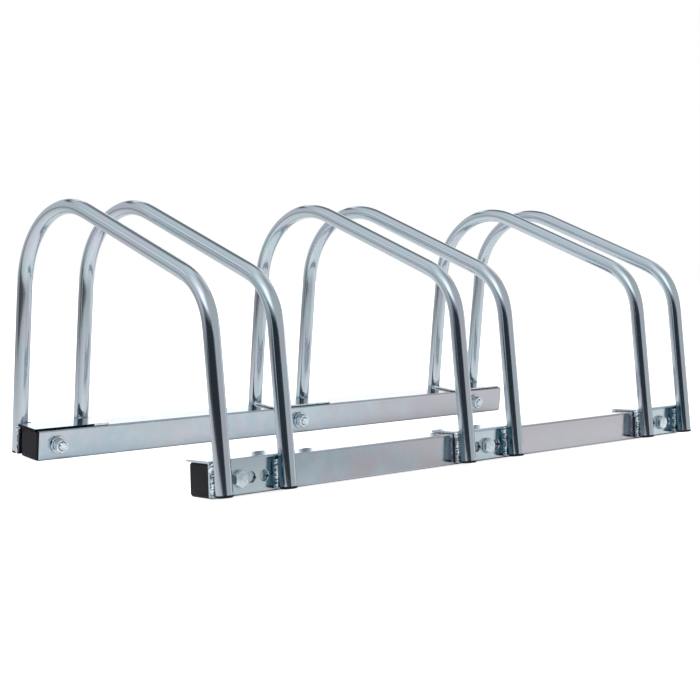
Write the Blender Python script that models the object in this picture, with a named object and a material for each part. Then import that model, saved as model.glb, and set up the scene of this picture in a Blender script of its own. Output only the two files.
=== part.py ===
"""Floor rack that holds three bicycles by the front wheel.

Two square tube rails lie across the floor. Six bent round tubes, the wheel loops, stand on them in pairs, and a
wheel goes in between the two loops of a pair. Each pair is joined to each rail by an L-shaped sheet bracket, and
one bolt through bracket and rail clamps it. Black plastic caps and plugs close the open tube ends.

X runs along the rails from the left end to the right end, as seen from the front. Y runs from the front, where
the loops are low, to the rear, where they are high. Z is up and the floor is at zero. All sizes are in metres.
"""

import math

import bmesh
import bpy
from mathutils import Matrix, Vector

# Air left between two pieces that touch
SEAT_GAP = 0.0003

# Rails: each one leans inwards a little, and so do the brackets clamped to it
RAIL_LENGTH = 0.670
RAIL_SIDE = 0.030
RAIL_WALL = 0.0015
RAIL_CORNER_RADIUS = 0.002
RAIL_BORE_RADIUS = 0.0005
RAIL_SPACING = 0.2755
FRONT_RAIL_TILT = math.radians(3.0)
REAR_RAIL_TILT = math.radians(4.5)

# Where the pairs stand: from each rail end to the outer pairs, and how far the middle pair is off centre
LEFT_PAIR_INSET = 0.0375
RIGHT_PAIR_INSET = 0.0465
MIDDLE_PAIR_SHIFT = 0.0005

# Wheel loops
TUBE_DIAMETER = 0.015
TUBE_WALL = 0.0012
LOOP_SPACING = 0.070
FRONT_LEG_LEAN = math.radians(7.6)
REAR_LEG_LEAN = math.radians(4.5)
FRONT_CORNER_HEIGHT = 0.179
REAR_CORNER_HEIGHT = 0.2765
FRONT_BEND_RADIUS = 0.055
REAR_BEND_RADIUS = 0.082

# Brackets
SHEET_THICKNESS = 0.002
SHEET_BEND_RADIUS = 0.001
BRACKET_LIFT = 0.002
HOLE_PITCH = 0.014
HOLE_ROW_SHIFT = 0.0022
HOLE_CLEARANCE = 0.001

# Bolts, nuts and washers
THREAD_DIAMETER = 0.008
RAIL_HOLE_CLEARANCE = 0.0005
HEXAGON_MARGIN = 0.0025
HEAD_HEIGHT = 0.0053
NUT_HEIGHT = 0.0065
WASHER_MARGIN = 0.0045
WASHER_THICKNESS = 0.0016
THREAD_OVERHANG = 0.0018
EDGE_CHAMFER = 0.0007

# Plastic caps in the rail ends
CAP_HEAD_THICKNESS = 0.002
CAP_HEAD_CHAMFER = 0.0017
CAP_INSERT_LENGTH = 0.012
CAP_INSERT_RADIUS = 0.0005

# Plastic plugs in the leg ends
PLUG_HEAD_THICKNESS = 0.002
PLUG_HEAD_CHAMFER = 0.001
PLUG_INSERT_LENGTH = 0.010
PLUG_FLOOR_CLEARANCE = 0.0042
INSERT_WALL = 0.0015

# How finely round shapes are drawn
ROUND_SIDES = 16
CORNER_STEPS = 4
BEND_STEP = math.radians(10.5)
SHARP_EDGE_ANGLE = math.radians(35.0)

# Places that follow from the sizes, outwards and upwards from a rail's centre
BRACKET_BACK = RAIL_SIDE / 2 + SEAT_GAP
BRACKET_FACE = BRACKET_BACK + SHEET_THICKNESS
BRACKET_TOP = BRACKET_FACE
BRACKET_BOTTOM = BRACKET_LIFT - RAIL_SIDE / 2
BRACKET_WIDTH = LOOP_SPACING + TUBE_DIAMETER
BEND_OUTSIDE = SHEET_BEND_RADIUS + SHEET_THICKNESS

# Places along the rails, and sizes of what fits together
PAIR_CENTRES = {
    "left": LEFT_PAIR_INSET - RAIL_LENGTH / 2,
    "middle": MIDDLE_PAIR_SHIFT,
    "right": RAIL_LENGTH / 2 - RIGHT_PAIR_INSET,
}
ACROSS_FLATS = THREAD_DIAMETER + 2 * HEXAGON_MARGIN
WASHER_DIAMETER = THREAD_DIAMETER + 2 * WASHER_MARGIN
THREAD_BORE_RADIUS = THREAD_DIAMETER / 2 + SEAT_GAP
LEG_END_HEIGHT = PLUG_FLOOR_CLEARANCE + PLUG_HEAD_THICKNESS + SEAT_GAP

FINISHES = {
    "zinc_rail": ((0.62, 0.65, 0.68, 1.0), 1.0, 0.22),
    "zinc_sheet": ((0.58, 0.61, 0.65, 1.0), 1.0, 0.28),
    "zinc_tube": ((0.66, 0.69, 0.73, 1.0), 1.0, 0.16),
    "zinc_fastener": ((0.72, 0.74, 0.74, 1.0), 1.0, 0.30),
    "black_plastic": ((0.035, 0.033, 0.036, 1.0), 0.0, 0.55),
}


class RailUnit:
    """One rail with its brackets and fasteners, in a frame that leans with the rail.

    In that frame X runs along the rail, out points away from the rack's middle and up leans inwards by the tilt.
    """

    def __init__(self, name, side, rail_y, tilt):
        """Put the rail's centre where its lowest edge touches the floor."""
        self.name = name
        self.side = side
        self.tilt = tilt
        core = RAIL_SIDE / 2 - RAIL_CORNER_RADIUS
        height = core * (math.cos(tilt) + math.sin(tilt)) + RAIL_CORNER_RADIUS
        self.centre = Vector((0, rail_y, height))
        self.out_vector = Vector((0, side * math.cos(tilt), math.sin(tilt)))
        self.up_vector = Vector((0, -side * math.sin(tilt), math.cos(tilt)))

    def point(self, out, up):
        """Give the place in the rack of a point of this frame."""
        return self.centre + out * self.out_vector + up * self.up_vector

    def leg_line(self, lean):
        """Give a point and the upward direction of a leg's axis, with the tube seated on the bracket's face."""
        turn = lean - self.tilt
        seat_up = BRACKET_TOP - BEND_OUTSIDE if turn >= 0 else BRACKET_BOTTOM
        seat_out = BRACKET_FACE + SEAT_GAP + TUBE_DIAMETER / 2 / math.cos(turn)
        direction = Vector((0, -self.side * math.sin(lean), math.cos(lean)))
        return self.point(seat_out, seat_up), direction


def hole_row(unit):
    """Give how far the middle hole is from a bracket's centre, along X: the brackets of the rear rail are turned."""
    return -unit.side * HOLE_ROW_SHIFT


def bolt_place(unit, pair):
    """Give the place of a pair's bolt along the rail. The left brackets use their left hole."""
    return PAIR_CENTRES[pair] + hole_row(unit) - (HOLE_PITCH if pair == "left" else 0)


def leg_point(line, height):
    """Give the point of a leg's axis at a height above the floor."""
    point, direction = line
    return point + direction * (height - point.z) / direction.z


FRONT = RailUnit("front", -1, 0.0, FRONT_RAIL_TILT)
REAR = RailUnit("rear", 1, RAIL_SPACING, REAR_RAIL_TILT)
FRONT_LEG = FRONT.leg_line(FRONT_LEG_LEAN)
REAR_LEG = REAR.leg_line(REAR_LEG_LEAN)
LEG_ENDS = {"front": leg_point(FRONT_LEG, LEG_END_HEIGHT), "rear": leg_point(REAR_LEG, LEG_END_HEIGHT)}
LEG_LEANS = {"front": -FRONT_LEG_LEAN, "rear": REAR_LEG_LEAN}


def clear_scene():
    """Remove every object of the scene that the script starts in."""
    for item in list(bpy.data.objects):
        bpy.data.objects.remove(item, do_unlink=True)


def make_finishes():
    """Make one plain material for each finish."""
    made = {}
    for name, (colour, metallic, roughness) in FINISHES.items():
        material = bpy.data.materials.new(name)
        material.use_nodes = True
        shader = material.node_tree.nodes["Principled BSDF"]
        shader.inputs["Base Color"].default_value = colour
        shader.inputs["Metallic"].default_value = metallic
        shader.inputs["Roughness"].default_value = roughness
        material.diffuse_color = colour
        made[name] = material
    return made


def make_empty(name, parent=None, location=(0, 0, 0), turn=0.0):
    """Make an empty that other objects hang on."""
    empty = bpy.data.objects.new(name, None)
    bpy.context.scene.collection.objects.link(empty)
    empty.parent = parent
    empty.location = location
    empty.rotation_euler.x = turn
    return empty


def make_object(name, bm, material, parent, location=(0, 0, 0), turn=0.0):
    """Turn a finished bmesh into an object, turned about X, with its faces pointing out."""
    bmesh.ops.recalc_face_normals(bm, faces=bm.faces)
    mesh = bpy.data.meshes.new(name)
    bm.to_mesh(mesh)
    bm.free()
    mesh.shade_smooth()
    mesh.set_sharp_from_angle(angle=SHARP_EDGE_ANGLE)
    mesh.materials.append(material)
    item = bpy.data.objects.new(name, mesh)
    bpy.context.scene.collection.objects.link(item)
    item.parent = parent
    item.location = location
    item.rotation_euler.x = turn
    return item


def ring_edges(bm, ring):
    """Give the edges between a ring's corners."""
    return [bm.edges.get((ring[i - 1], ring[i])) for i in range(len(ring))]


def add_ring(bm, points):
    """Add one closed ring of edges and give its corners in order."""
    ring = [bm.verts.new(point) for point in points]
    for i in range(len(ring)):
        bm.edges.new((ring[i - 1], ring[i]))
    return ring


def extrude_ring(bm, ring, points):
    """Extrude a ring and lay the new ring on other points, corner by corner."""
    grown = bmesh.ops.extrude_edge_only(bm, edges=ring_edges(bm, ring))["geom"]
    fresh = {item for item in grown if isinstance(item, bmesh.types.BMVert)}
    following = []
    for vert, point in zip(ring, points):
        partner = next(edge.other_vert(vert) for edge in vert.link_edges if edge.other_vert(vert) in fresh)
        partner.co = point
        following.append(partner)
    return following


def loft(rings, closed=False):
    """Skin a row of rings that all have the same number of points.

    The first and last ring are filled, or joined to each other when the shape is closed like a washer.
    """
    bm = bmesh.new()
    first = add_ring(bm, rings[0])
    last = first
    for points in rings[1:]:
        last = extrude_ring(bm, last, points)
    if closed:
        last = extrude_ring(bm, last, rings[0])
        bmesh.ops.weld_verts(bm, targetmap=dict(zip(last, first)))
    else:
        bmesh.ops.contextual_create(bm, geom=ring_edges(bm, first))
        bmesh.ops.contextual_create(bm, geom=ring_edges(bm, last))
    return bm


def arc_points(centre, radius, first, last, steps):
    """Give points round an arc as pairs of numbers."""
    angles = [first + (last - first) * i / steps for i in range(steps + 1)]
    return [(centre[0] + radius * math.cos(angle), centre[1] + radius * math.sin(angle)) for angle in angles]


def round_ring(radius, height):
    """Give a circle of points about Z."""
    points = arc_points((0, 0), radius, 0, math.tau, ROUND_SIDES)
    return [Vector((a, b, height)) for a, b in points[:-1]]


def hexagon_ring(flats, height):
    """Give a hexagon about Z as twelve points: its corners, one of them on +Y, and the middles of its sides."""
    points = []
    for i in range(12):
        angle = math.radians(90 + 30 * i)
        radius = flats / 2 if i % 2 else flats / math.sqrt(3)
        points.append(Vector((radius * math.cos(angle), radius * math.sin(angle), height)))
    return points


def twelve_ring(radius, height):
    """Give a circle of twelve points that lines up with a hexagon ring."""
    start = math.radians(90)
    points = arc_points((0, 0), radius, start, start + math.tau, 12)
    return [Vector((a, b, height)) for a, b in points[:-1]]


def square_ring(side, radius, along):
    """Give a square with rounded corners across the X axis."""
    inner = side / 2 - radius
    quarter = math.radians(90)
    points = []
    for i, corner in enumerate(((inner, inner), (-inner, inner), (-inner, -inner), (inner, -inner))):
        points += arc_points(corner, radius, i * quarter, (i + 1) * quarter, CORNER_STEPS)
    return [Vector((along, a, b)) for a, b in points]


def drill(target, x_places, diameter):
    """Cut round holes along Y right through a piece, one at each place along X."""
    bm = bmesh.new()
    turn = Matrix.Rotation(math.radians(90), 4, "X")
    for x in x_places:
        bmesh.ops.create_cone(
            bm, cap_ends=True, segments=ROUND_SIDES, radius1=diameter / 2, radius2=diameter / 2,
            depth=3 * RAIL_SIDE, matrix=Matrix.Translation((x, 0, 0)) @ turn,
        )
    mesh = bpy.data.meshes.new(f"{target.name}_drill")
    bm.to_mesh(mesh)
    bm.free()
    cutter = bpy.data.objects.new(mesh.name, mesh)
    bpy.context.scene.collection.objects.link(cutter)
    cutter.parent = target.parent
    cutter.location = target.location
    cutter.hide_render = True
    cutter.display_type = "WIRE"
    cut = target.modifiers.new("holes", "BOOLEAN")
    cut.operation = "DIFFERENCE"
    cut.solver = "EXACT"
    cut.object = cutter


def make_rail(unit, material, parent):
    """Make a square tube with a bolt hole for each bracket."""
    half = RAIL_LENGTH / 2
    bore = RAIL_SIDE - 2 * RAIL_WALL
    rings = [
        square_ring(RAIL_SIDE, RAIL_CORNER_RADIUS, -half),
        square_ring(RAIL_SIDE, RAIL_CORNER_RADIUS, half),
        square_ring(bore, RAIL_BORE_RADIUS, half),
        square_ring(bore, RAIL_BORE_RADIUS, -half),
    ]
    rail = make_object(f"{unit.name}_rail", loft(rings, closed=True), material, parent)
    drill(rail, [bolt_place(unit, pair) for pair in PAIR_CENTRES], THREAD_DIAMETER + 2 * RAIL_HOLE_CLEARANCE)


def make_rail_cap(unit, end, side, material, parent):
    """Make a plastic cap: a chamfered head that closes the rail's end and a hollow insert inside it."""
    insert = RAIL_SIDE - 2 * (RAIL_WALL + SEAT_GAP)
    hollow = insert - 2 * INSERT_WALL
    head_back = RAIL_LENGTH / 2 + SEAT_GAP
    head_front = head_back + CAP_HEAD_THICKNESS
    insert_end = head_back - CAP_INSERT_LENGTH
    rings = [
        square_ring(RAIL_SIDE - 2 * CAP_HEAD_CHAMFER, RAIL_CORNER_RADIUS, side * head_front),
        square_ring(RAIL_SIDE, RAIL_CORNER_RADIUS, side * (head_front - CAP_HEAD_CHAMFER)),
        square_ring(RAIL_SIDE, RAIL_CORNER_RADIUS, side * head_back),
        square_ring(insert, CAP_INSERT_RADIUS, side * head_back),
        square_ring(insert, CAP_INSERT_RADIUS, side * insert_end),
        square_ring(hollow, CAP_INSERT_RADIUS, side * insert_end),
        square_ring(hollow, CAP_INSERT_RADIUS, side * head_back),
    ]
    make_object(f"{unit.name}_rail_cap_{end}", loft(rings), material, parent)


def bracket_section(side):
    """Give a bracket's L-shaped section as (y, z) points in its unit's frame."""
    bend = (BRACKET_BACK - SHEET_BEND_RADIUS, BRACKET_TOP - BEND_OUTSIDE)
    flange_end = -RAIL_SIDE / 2
    quarter = math.radians(90)
    section = [(BRACKET_BACK, BRACKET_BOTTOM)]
    section += arc_points(bend, SHEET_BEND_RADIUS, 0, quarter, CORNER_STEPS)
    section += [(flange_end, BRACKET_TOP - SHEET_THICKNESS), (flange_end, BRACKET_TOP)]
    section += arc_points(bend, BEND_OUTSIDE, quarter, 0, CORNER_STEPS)
    section.append((BRACKET_FACE, BRACKET_BOTTOM))
    return [(side * out, up) for out, up in section]


def make_bracket(unit, pair, material, parent):
    """Make a sheet bracket that lies over the rail's outer top edge, with three holes in a row."""
    section = bracket_section(unit.side)
    rings = [[Vector((x, y, z)) for y, z in section] for x in (-BRACKET_WIDTH / 2, BRACKET_WIDTH / 2)]
    place = (PAIR_CENTRES[pair], 0, 0)
    bracket = make_object(f"{unit.name}_bracket_{pair}", loft(rings), material, parent, place)
    places = [hole_row(unit) + shift for shift in (-HOLE_PITCH, 0, HOLE_PITCH)]
    drill(bracket, places, THREAD_DIAMETER + 2 * HOLE_CLEARANCE)


def make_bolt(unit, pair, material, parent):
    """Make a hexagon bolt whose head bears on the bracket and whose thread ends just past the nut."""
    clamped = BRACKET_FACE + RAIL_SIDE / 2 + WASHER_THICKNESS + NUT_HEIGHT
    length = clamped + 3 * SEAT_GAP + THREAD_OVERHANG
    shank = THREAD_DIAMETER / 2
    rings = [
        twelve_ring(ACROSS_FLATS / 2 - EDGE_CHAMFER, HEAD_HEIGHT),
        hexagon_ring(ACROSS_FLATS, HEAD_HEIGHT - EDGE_CHAMFER),
        hexagon_ring(ACROSS_FLATS, 0),
        twelve_ring(shank, 0),
        twelve_ring(shank, EDGE_CHAMFER - length),
        twelve_ring(shank - EDGE_CHAMFER, -length),
    ]
    place = (bolt_place(unit, pair), unit.side * (BRACKET_FACE + SEAT_GAP), 0)
    make_object(f"{unit.name}_bolt_{pair}", loft(rings), material, parent, place, -unit.side * math.pi / 2)


def make_washer(unit, pair, material, parent):
    """Make the flat washer that lies on the rail's inner face."""
    rings = [
        round_ring(WASHER_DIAMETER / 2, 0),
        round_ring(WASHER_DIAMETER / 2, WASHER_THICKNESS),
        round_ring(THREAD_BORE_RADIUS, WASHER_THICKNESS),
        round_ring(THREAD_BORE_RADIUS, 0),
    ]
    place = (bolt_place(unit, pair), -unit.side * (RAIL_SIDE / 2 + SEAT_GAP), 0)
    name = f"{unit.name}_washer_{pair}"
    make_object(name, loft(rings, closed=True), material, parent, place, unit.side * math.pi / 2)


def make_nut(unit, pair, material, parent):
    """Make the hexagon nut that clamps the washer against the rail."""
    chamfered = ACROSS_FLATS / 2 - EDGE_CHAMFER
    rings = [
        twelve_ring(THREAD_BORE_RADIUS, 0),
        twelve_ring(chamfered, 0),
        hexagon_ring(ACROSS_FLATS, EDGE_CHAMFER),
        hexagon_ring(ACROSS_FLATS, NUT_HEIGHT - EDGE_CHAMFER),
        twelve_ring(chamfered, NUT_HEIGHT),
        twelve_ring(THREAD_BORE_RADIUS, NUT_HEIGHT),
    ]
    depth = RAIL_SIDE / 2 + 2 * SEAT_GAP + WASHER_THICKNESS
    place = (bolt_place(unit, pair), -unit.side * depth, 0)
    name = f"{unit.name}_nut_{pair}"
    make_object(name, loft(rings, closed=True), material, parent, place, unit.side * math.pi / 2)


def outward(heading):
    """Give the direction away from a bend's centre where the centre line has this heading.

    Headings turn from straight up at zero towards the front at a right angle.
    """
    return Vector((0, math.cos(heading), math.sin(heading)))


def bend_stations(corner, radius, first, last):
    """Give places and headings round a bend that replaces a corner of the centre line."""
    half = (last - first) / 2
    centre = corner - outward(first + half) * radius / math.cos(half)
    steps = math.ceil((last - first) / BEND_STEP)
    headings = [first + (last - first) * i / steps for i in range(steps + 1)]
    return [(centre + outward(heading) * radius, heading) for heading in headings]


def loop_stations():
    """Give places and headings along a loop's centre line, from its rear end over the top to its front end."""
    rear_corner = leg_point(REAR_LEG, REAR_CORNER_HEIGHT)
    front_corner = leg_point(FRONT_LEG, FRONT_CORNER_HEIGHT)
    slope = front_corner - rear_corner
    climb = REAR_LEG_LEAN
    descent = math.atan2(-slope.y, slope.z)
    drop = math.pi - FRONT_LEG_LEAN
    stations = [(LEG_ENDS["rear"], climb)]
    stations += bend_stations(rear_corner, REAR_BEND_RADIUS, climb, descent)
    stations += bend_stations(front_corner, FRONT_BEND_RADIUS, descent, drop)
    stations.append((LEG_ENDS["front"], drop))
    return stations


def make_loop(number, x, material, parent):
    """Make one wheel loop: a round tube with two legs, a high bend at the rear and a low one at the front."""
    places = [Matrix.Translation(place) @ Matrix.Rotation(heading, 4, "X") for place, heading in loop_stations()]
    outer = [[place @ point for point in round_ring(TUBE_DIAMETER / 2, 0)] for place in places]
    inner = [[place @ point for point in round_ring(TUBE_DIAMETER / 2 - TUBE_WALL, 0)] for place in places]
    make_object(f"wheel_loop_{number}", loft(outer + inner[::-1], closed=True), material, parent, (x, 0, 0))


def make_plug(number, end, x, material, parent):
    """Make a plastic plug: a chamfered head under the leg and a hollow insert inside the tube."""
    outside = TUBE_DIAMETER / 2
    insert = outside - TUBE_WALL - SEAT_GAP
    head_bottom = -SEAT_GAP - PLUG_HEAD_THICKNESS
    rings = [
        round_ring(outside - PLUG_HEAD_CHAMFER, head_bottom),
        round_ring(outside, head_bottom + PLUG_HEAD_CHAMFER),
        round_ring(outside, -SEAT_GAP),
        round_ring(insert, -SEAT_GAP),
        round_ring(insert, PLUG_INSERT_LENGTH),
        round_ring(insert - INSERT_WALL, PLUG_INSERT_LENGTH),
        round_ring(insert - INSERT_WALL, -SEAT_GAP),
    ]
    place = LEG_ENDS[end] + Vector((x, 0, 0))
    make_object(f"loop_{number}_{end}_plug", loft(rings), material, parent, place, LEG_LEANS[end])


def rack_middle():
    """Give the middle of the rack's outline on the floor."""
    cap_end = RAIL_LENGTH / 2 + SEAT_GAP + CAP_HEAD_THICKNESS
    left = min(-cap_end, PAIR_CENTRES["left"] - BRACKET_WIDTH / 2)
    right = max(cap_end, PAIR_CENTRES["right"] + BRACKET_WIDTH / 2)
    front = LEG_ENDS["front"].y - TUBE_DIAMETER / 2 * math.cos(FRONT_LEG_LEAN)
    rear = LEG_ENDS["rear"].y + TUBE_DIAMETER / 2 * math.cos(REAR_LEG_LEAN)
    return Vector(((left + right) / 2, (front + rear) / 2, 0))


def make_unit(unit, finish, rack):
    """Make a rail with its caps, and its brackets with their fasteners."""
    frame = make_empty(f"{unit.name}_unit", rack, unit.centre, unit.side * unit.tilt)
    make_rail(unit, finish["zinc_rail"], frame)
    make_rail_cap(unit, "left", -1, finish["black_plastic"], frame)
    make_rail_cap(unit, "right", 1, finish["black_plastic"], frame)
    for pair in PAIR_CENTRES:
        make_bracket(unit, pair, finish["zinc_sheet"], frame)
        make_bolt(unit, pair, finish["zinc_fastener"], frame)
        make_washer(unit, pair, finish["zinc_fastener"], frame)
        make_nut(unit, pair, finish["zinc_fastener"], frame)


def make_loops(finish, rack):
    """Make the wheel loops with their plugs, numbered from the left."""
    shifts = (-LOOP_SPACING / 2, LOOP_SPACING / 2)
    places = [centre + shift for centre in PAIR_CENTRES.values() for shift in shifts]
    for number, x in enumerate(places, start=1):
        make_loop(number, x, finish["zinc_tube"], rack)
        for end in LEG_ENDS:
            make_plug(number, end, x, finish["black_plastic"], rack)


def build():
    """Build the whole rack with its origin on the floor under its middle."""
    clear_scene()
    finish = make_finishes()
    rack = make_empty("rack", location=-rack_middle())
    make_unit(FRONT, finish, rack)
    make_unit(REAR, finish, rack)
    make_loops(finish, rack)
    bpy.context.view_layer.update()


build()
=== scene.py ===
"""Visual model of a floor rack that holds three bicycles by the front wheel.

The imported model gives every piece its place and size. This script models each piece again with finer shapes, dresses
it in zinc plating or black plastic, adds the weld beads, and sets up the studio and the camera.

X runs along the rails, Y from the front to the rear and Z up, all in metres, with the origin on the floor under the
middle of the rack. Colours are linear.
"""

from __future__ import annotations

import logging
import math
import random
from collections.abc import Iterable
from dataclasses import astuple, dataclass
from enum import Enum
from functools import cached_property, reduce
from typing import ClassVar

import bmesh
import bpy
from bmesh.types import BMEdge, BMesh, BMVert
from bpy.types import Material, Node, NodeOutputs, NodeSocket, NodeTree, Object
from mathutils import Euler, Matrix, Vector


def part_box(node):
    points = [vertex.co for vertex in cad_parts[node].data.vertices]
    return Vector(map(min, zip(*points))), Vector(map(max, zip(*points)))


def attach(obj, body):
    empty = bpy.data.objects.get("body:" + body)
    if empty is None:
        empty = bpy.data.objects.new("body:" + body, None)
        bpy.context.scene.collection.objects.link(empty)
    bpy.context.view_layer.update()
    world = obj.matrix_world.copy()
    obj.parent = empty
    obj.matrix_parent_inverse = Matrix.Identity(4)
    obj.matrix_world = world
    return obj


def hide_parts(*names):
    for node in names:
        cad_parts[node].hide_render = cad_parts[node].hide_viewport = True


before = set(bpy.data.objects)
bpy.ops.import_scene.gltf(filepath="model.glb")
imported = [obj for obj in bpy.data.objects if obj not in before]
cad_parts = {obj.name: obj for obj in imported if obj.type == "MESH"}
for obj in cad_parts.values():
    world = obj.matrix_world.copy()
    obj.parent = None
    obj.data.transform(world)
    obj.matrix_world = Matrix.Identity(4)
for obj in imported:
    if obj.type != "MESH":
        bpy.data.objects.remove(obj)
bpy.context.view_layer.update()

LOG = logging.getLogger("bicycle_rack")
BODY = "root"
MILLIMETRE = 0.001
QUARTER = math.pi / 2
ALIGNED = 0.99
TOLERANCE = 0.001 * MILLIMETRE
CUT_TOLERANCE = 0.0001 * MILLIMETRE
ROUND_STEPS = 48
WHITE = (1.0, 1.0, 1.0)
ORIGIN = (0.0, 0.0, 0.0)
EVEN = (1.0, 1.0, 1.0)

# A span is where a change starts and ends. A change also has its results there.
Colour = Point = tuple[float, float, float]
Span = Pair = tuple[float, float]
Change = tuple[float, float, float, float]


class Slot(Enum):
    """The record's material slots, one of which each finish names."""

    RAIL = "zinc_rail"
    SHEET = "zinc_sheet"
    TUBE = "zinc_tube"
    FASTENER = "zinc_fastener"
    PLASTIC = "black_plastic"


class PairName(Enum):
    """The three pairs of wheel loops, from the left."""

    LEFT = "left"
    MIDDLE = "middle"
    RIGHT = "right"


class Place(Enum):
    """Where a finish reads the point that its pattern follows."""

    OBJECT = "object"
    STRAIGHTENED_TUBE = "straight_place"


@dataclass(frozen=True)
class RackSizes:
    """Sizes of the rack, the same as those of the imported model."""

    seat_gap: float = 0.0003
    rail_length: float = 0.670
    rail_side: float = 0.030
    rail_wall: float = 0.0015
    rail_corner: float = 0.002
    rail_spacing: float = 0.2755
    left_inset: float = 0.0375
    right_inset: float = 0.0465
    middle_shift: float = 0.0005
    tube_radius: float = 0.0075
    tube_wall: float = 0.0012
    loop_spacing: float = 0.070
    leg_end_height: float = 0.0065
    sheet: float = 0.002
    sheet_bend: float = 0.001
    bracket_lift: float = 0.002
    hole_pitch: float = 0.014
    hole_row_shift: float = 0.0022
    hole_radius: float = 0.005
    rail_hole_radius: float = 0.0045
    thread_radius: float = 0.004
    across_flats: float = 0.013
    head_height: float = 0.0053
    nut_height: float = 0.0065
    washer_radius: float = 0.0085
    washer_thickness: float = 0.0016
    thread_overhang: float = 0.0018
    cap_head: float = 0.002
    cap_insert: float = 0.012
    plug_head: float = 0.002
    plug_insert: float = 0.010
    insert_wall: float = 0.0015

    @property
    def half_length(self) -> float:
        """Half the rail's length."""
        return self.rail_length / 2

    @property
    def half_side(self) -> float:
        """Half the rail's width."""
        return self.rail_side / 2

    @property
    def bracket_back(self) -> float:
        """How far out the bracket's back is from the rail's centre."""
        return self.half_side + self.seat_gap

    @property
    def bracket_face(self) -> float:
        """How far out and up the bracket's outer faces are from the rail's centre."""
        return self.bracket_back + self.sheet

    @property
    def bracket_bottom(self) -> float:
        """How far up the bracket's lower edge is from the rail's centre."""
        return self.bracket_lift - self.half_side

    @property
    def half_bracket(self) -> float:
        """Half the bracket's length along the rail."""
        return self.loop_spacing / 2 + self.tube_radius

    @property
    def bend_outside(self) -> float:
        """The outer radius of the bracket's bend."""
        return self.sheet_bend + self.sheet

    @property
    def bore(self) -> float:
        """The radius of the washers' and nuts' bores."""
        return self.thread_radius + self.seat_gap

    def pair_centre(self, pair: PairName) -> float:
        """Give the place of a pair's middle along the rail.

        Args:
            pair: The pair of wheel loops.

        Returns:
            The distance from the rail's middle, to the right.
        """
        places = {
            PairName.LEFT: self.left_inset - self.half_length,
            PairName.MIDDLE: self.middle_shift,
            PairName.RIGHT: self.half_length - self.right_inset,
        }
        return places[pair]

    def loop_places(self) -> list[float]:
        """Give the six wheel loops' places along the rail, from the left."""
        half = self.loop_spacing / 2
        return [self.pair_centre(pair) + shift for pair in PairName for shift in (-half, half)]


SIZES = RackSizes()


@dataclass(frozen=True)
class RailUnit:
    """One rail with all that leans inwards with it, and the shape of the legs that stand at it.

    In the rail's frame X runs along it, side times Y points away from the rack's middle and Z leans with the rail.
    """

    name: str
    side: int
    rail_y: float
    tilt: float
    lean: float
    corner_height: float
    bend_radius: float

    @property
    def turn(self) -> Matrix:
        """The turn from the rail's frame to the rack's."""
        return Matrix.Rotation(self.side * self.tilt, 4, "X")

    @property
    def centre(self) -> Vector:
        """The rail's centre before the rack is centred."""
        core = SIZES.half_side - SIZES.rail_corner
        return Vector((0, self.rail_y, core * (math.cos(self.tilt) + math.sin(self.tilt)) + SIZES.rail_corner))

    @property
    def matrix(self) -> Matrix:
        """The turn and shift from the rail's frame to the finished rack."""
        return Matrix.Translation(self.centre - rack_middle()) @ self.turn

    @property
    def hole_row(self) -> float:
        """How far a bracket's middle hole is from the bracket's centre. The rear brackets are turned around."""
        return -self.side * SIZES.hole_row_shift

    @property
    def seat(self) -> Pair:
        """Where a leg's axis is at the height at which the leg touches its bracket.

        Returns:
            How far out and how far up that point is from the rail's centre.
        """
        turn = self.lean - self.tilt
        up = SIZES.bracket_face - SIZES.bend_outside if turn >= 0 else SIZES.bracket_bottom
        return SIZES.bracket_face + SIZES.seat_gap + SIZES.tube_radius / math.cos(turn), up

    def bolt_place(self, pair: PairName) -> float:
        """Give the place of a pair's bolt along the rail. The left brackets use their left hole."""
        shift = SIZES.hole_pitch if pair is PairName.LEFT else 0.0
        return SIZES.pair_centre(pair) + self.hole_row - shift

    def leg_point(self, height: float) -> Vector:
        """Give the point of a leg's axis at a height above the floor, before the rack is centred.

        Args:
            height: The height above the floor.

        Returns:
            The point, in the plane of the loop.
        """
        out, up = self.seat
        point = self.centre + self.turn @ Vector((0, self.side * out, up))
        direction = Vector((0, -self.side * math.sin(self.lean), math.cos(self.lean)))
        return point + direction * (height - point.z) / direction.z


FRONT = RailUnit("front", -1, 0.0, math.radians(3.0), math.radians(7.6), 0.179, 0.055)
REAR = RailUnit("rear", 1, SIZES.rail_spacing, math.radians(4.5), math.radians(4.5), 0.2765, 0.082)


def rack_middle() -> Vector:
    """Give the middle of the rack's outline on the floor.

    Returns:
        The finished rack's origin, before the rack is centred.
    """
    cap_end = SIZES.half_length + SIZES.seat_gap + SIZES.cap_head
    left = min(-cap_end, SIZES.pair_centre(PairName.LEFT) - SIZES.half_bracket)
    right = max(cap_end, SIZES.pair_centre(PairName.RIGHT) + SIZES.half_bracket)
    front, rear = (
        unit.leg_point(SIZES.leg_end_height).y + unit.side * SIZES.tube_radius * math.cos(unit.lean)
        for unit in (FRONT, REAR)
    )
    return Vector(((left + right) / 2, (front + rear) / 2, 0))


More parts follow.
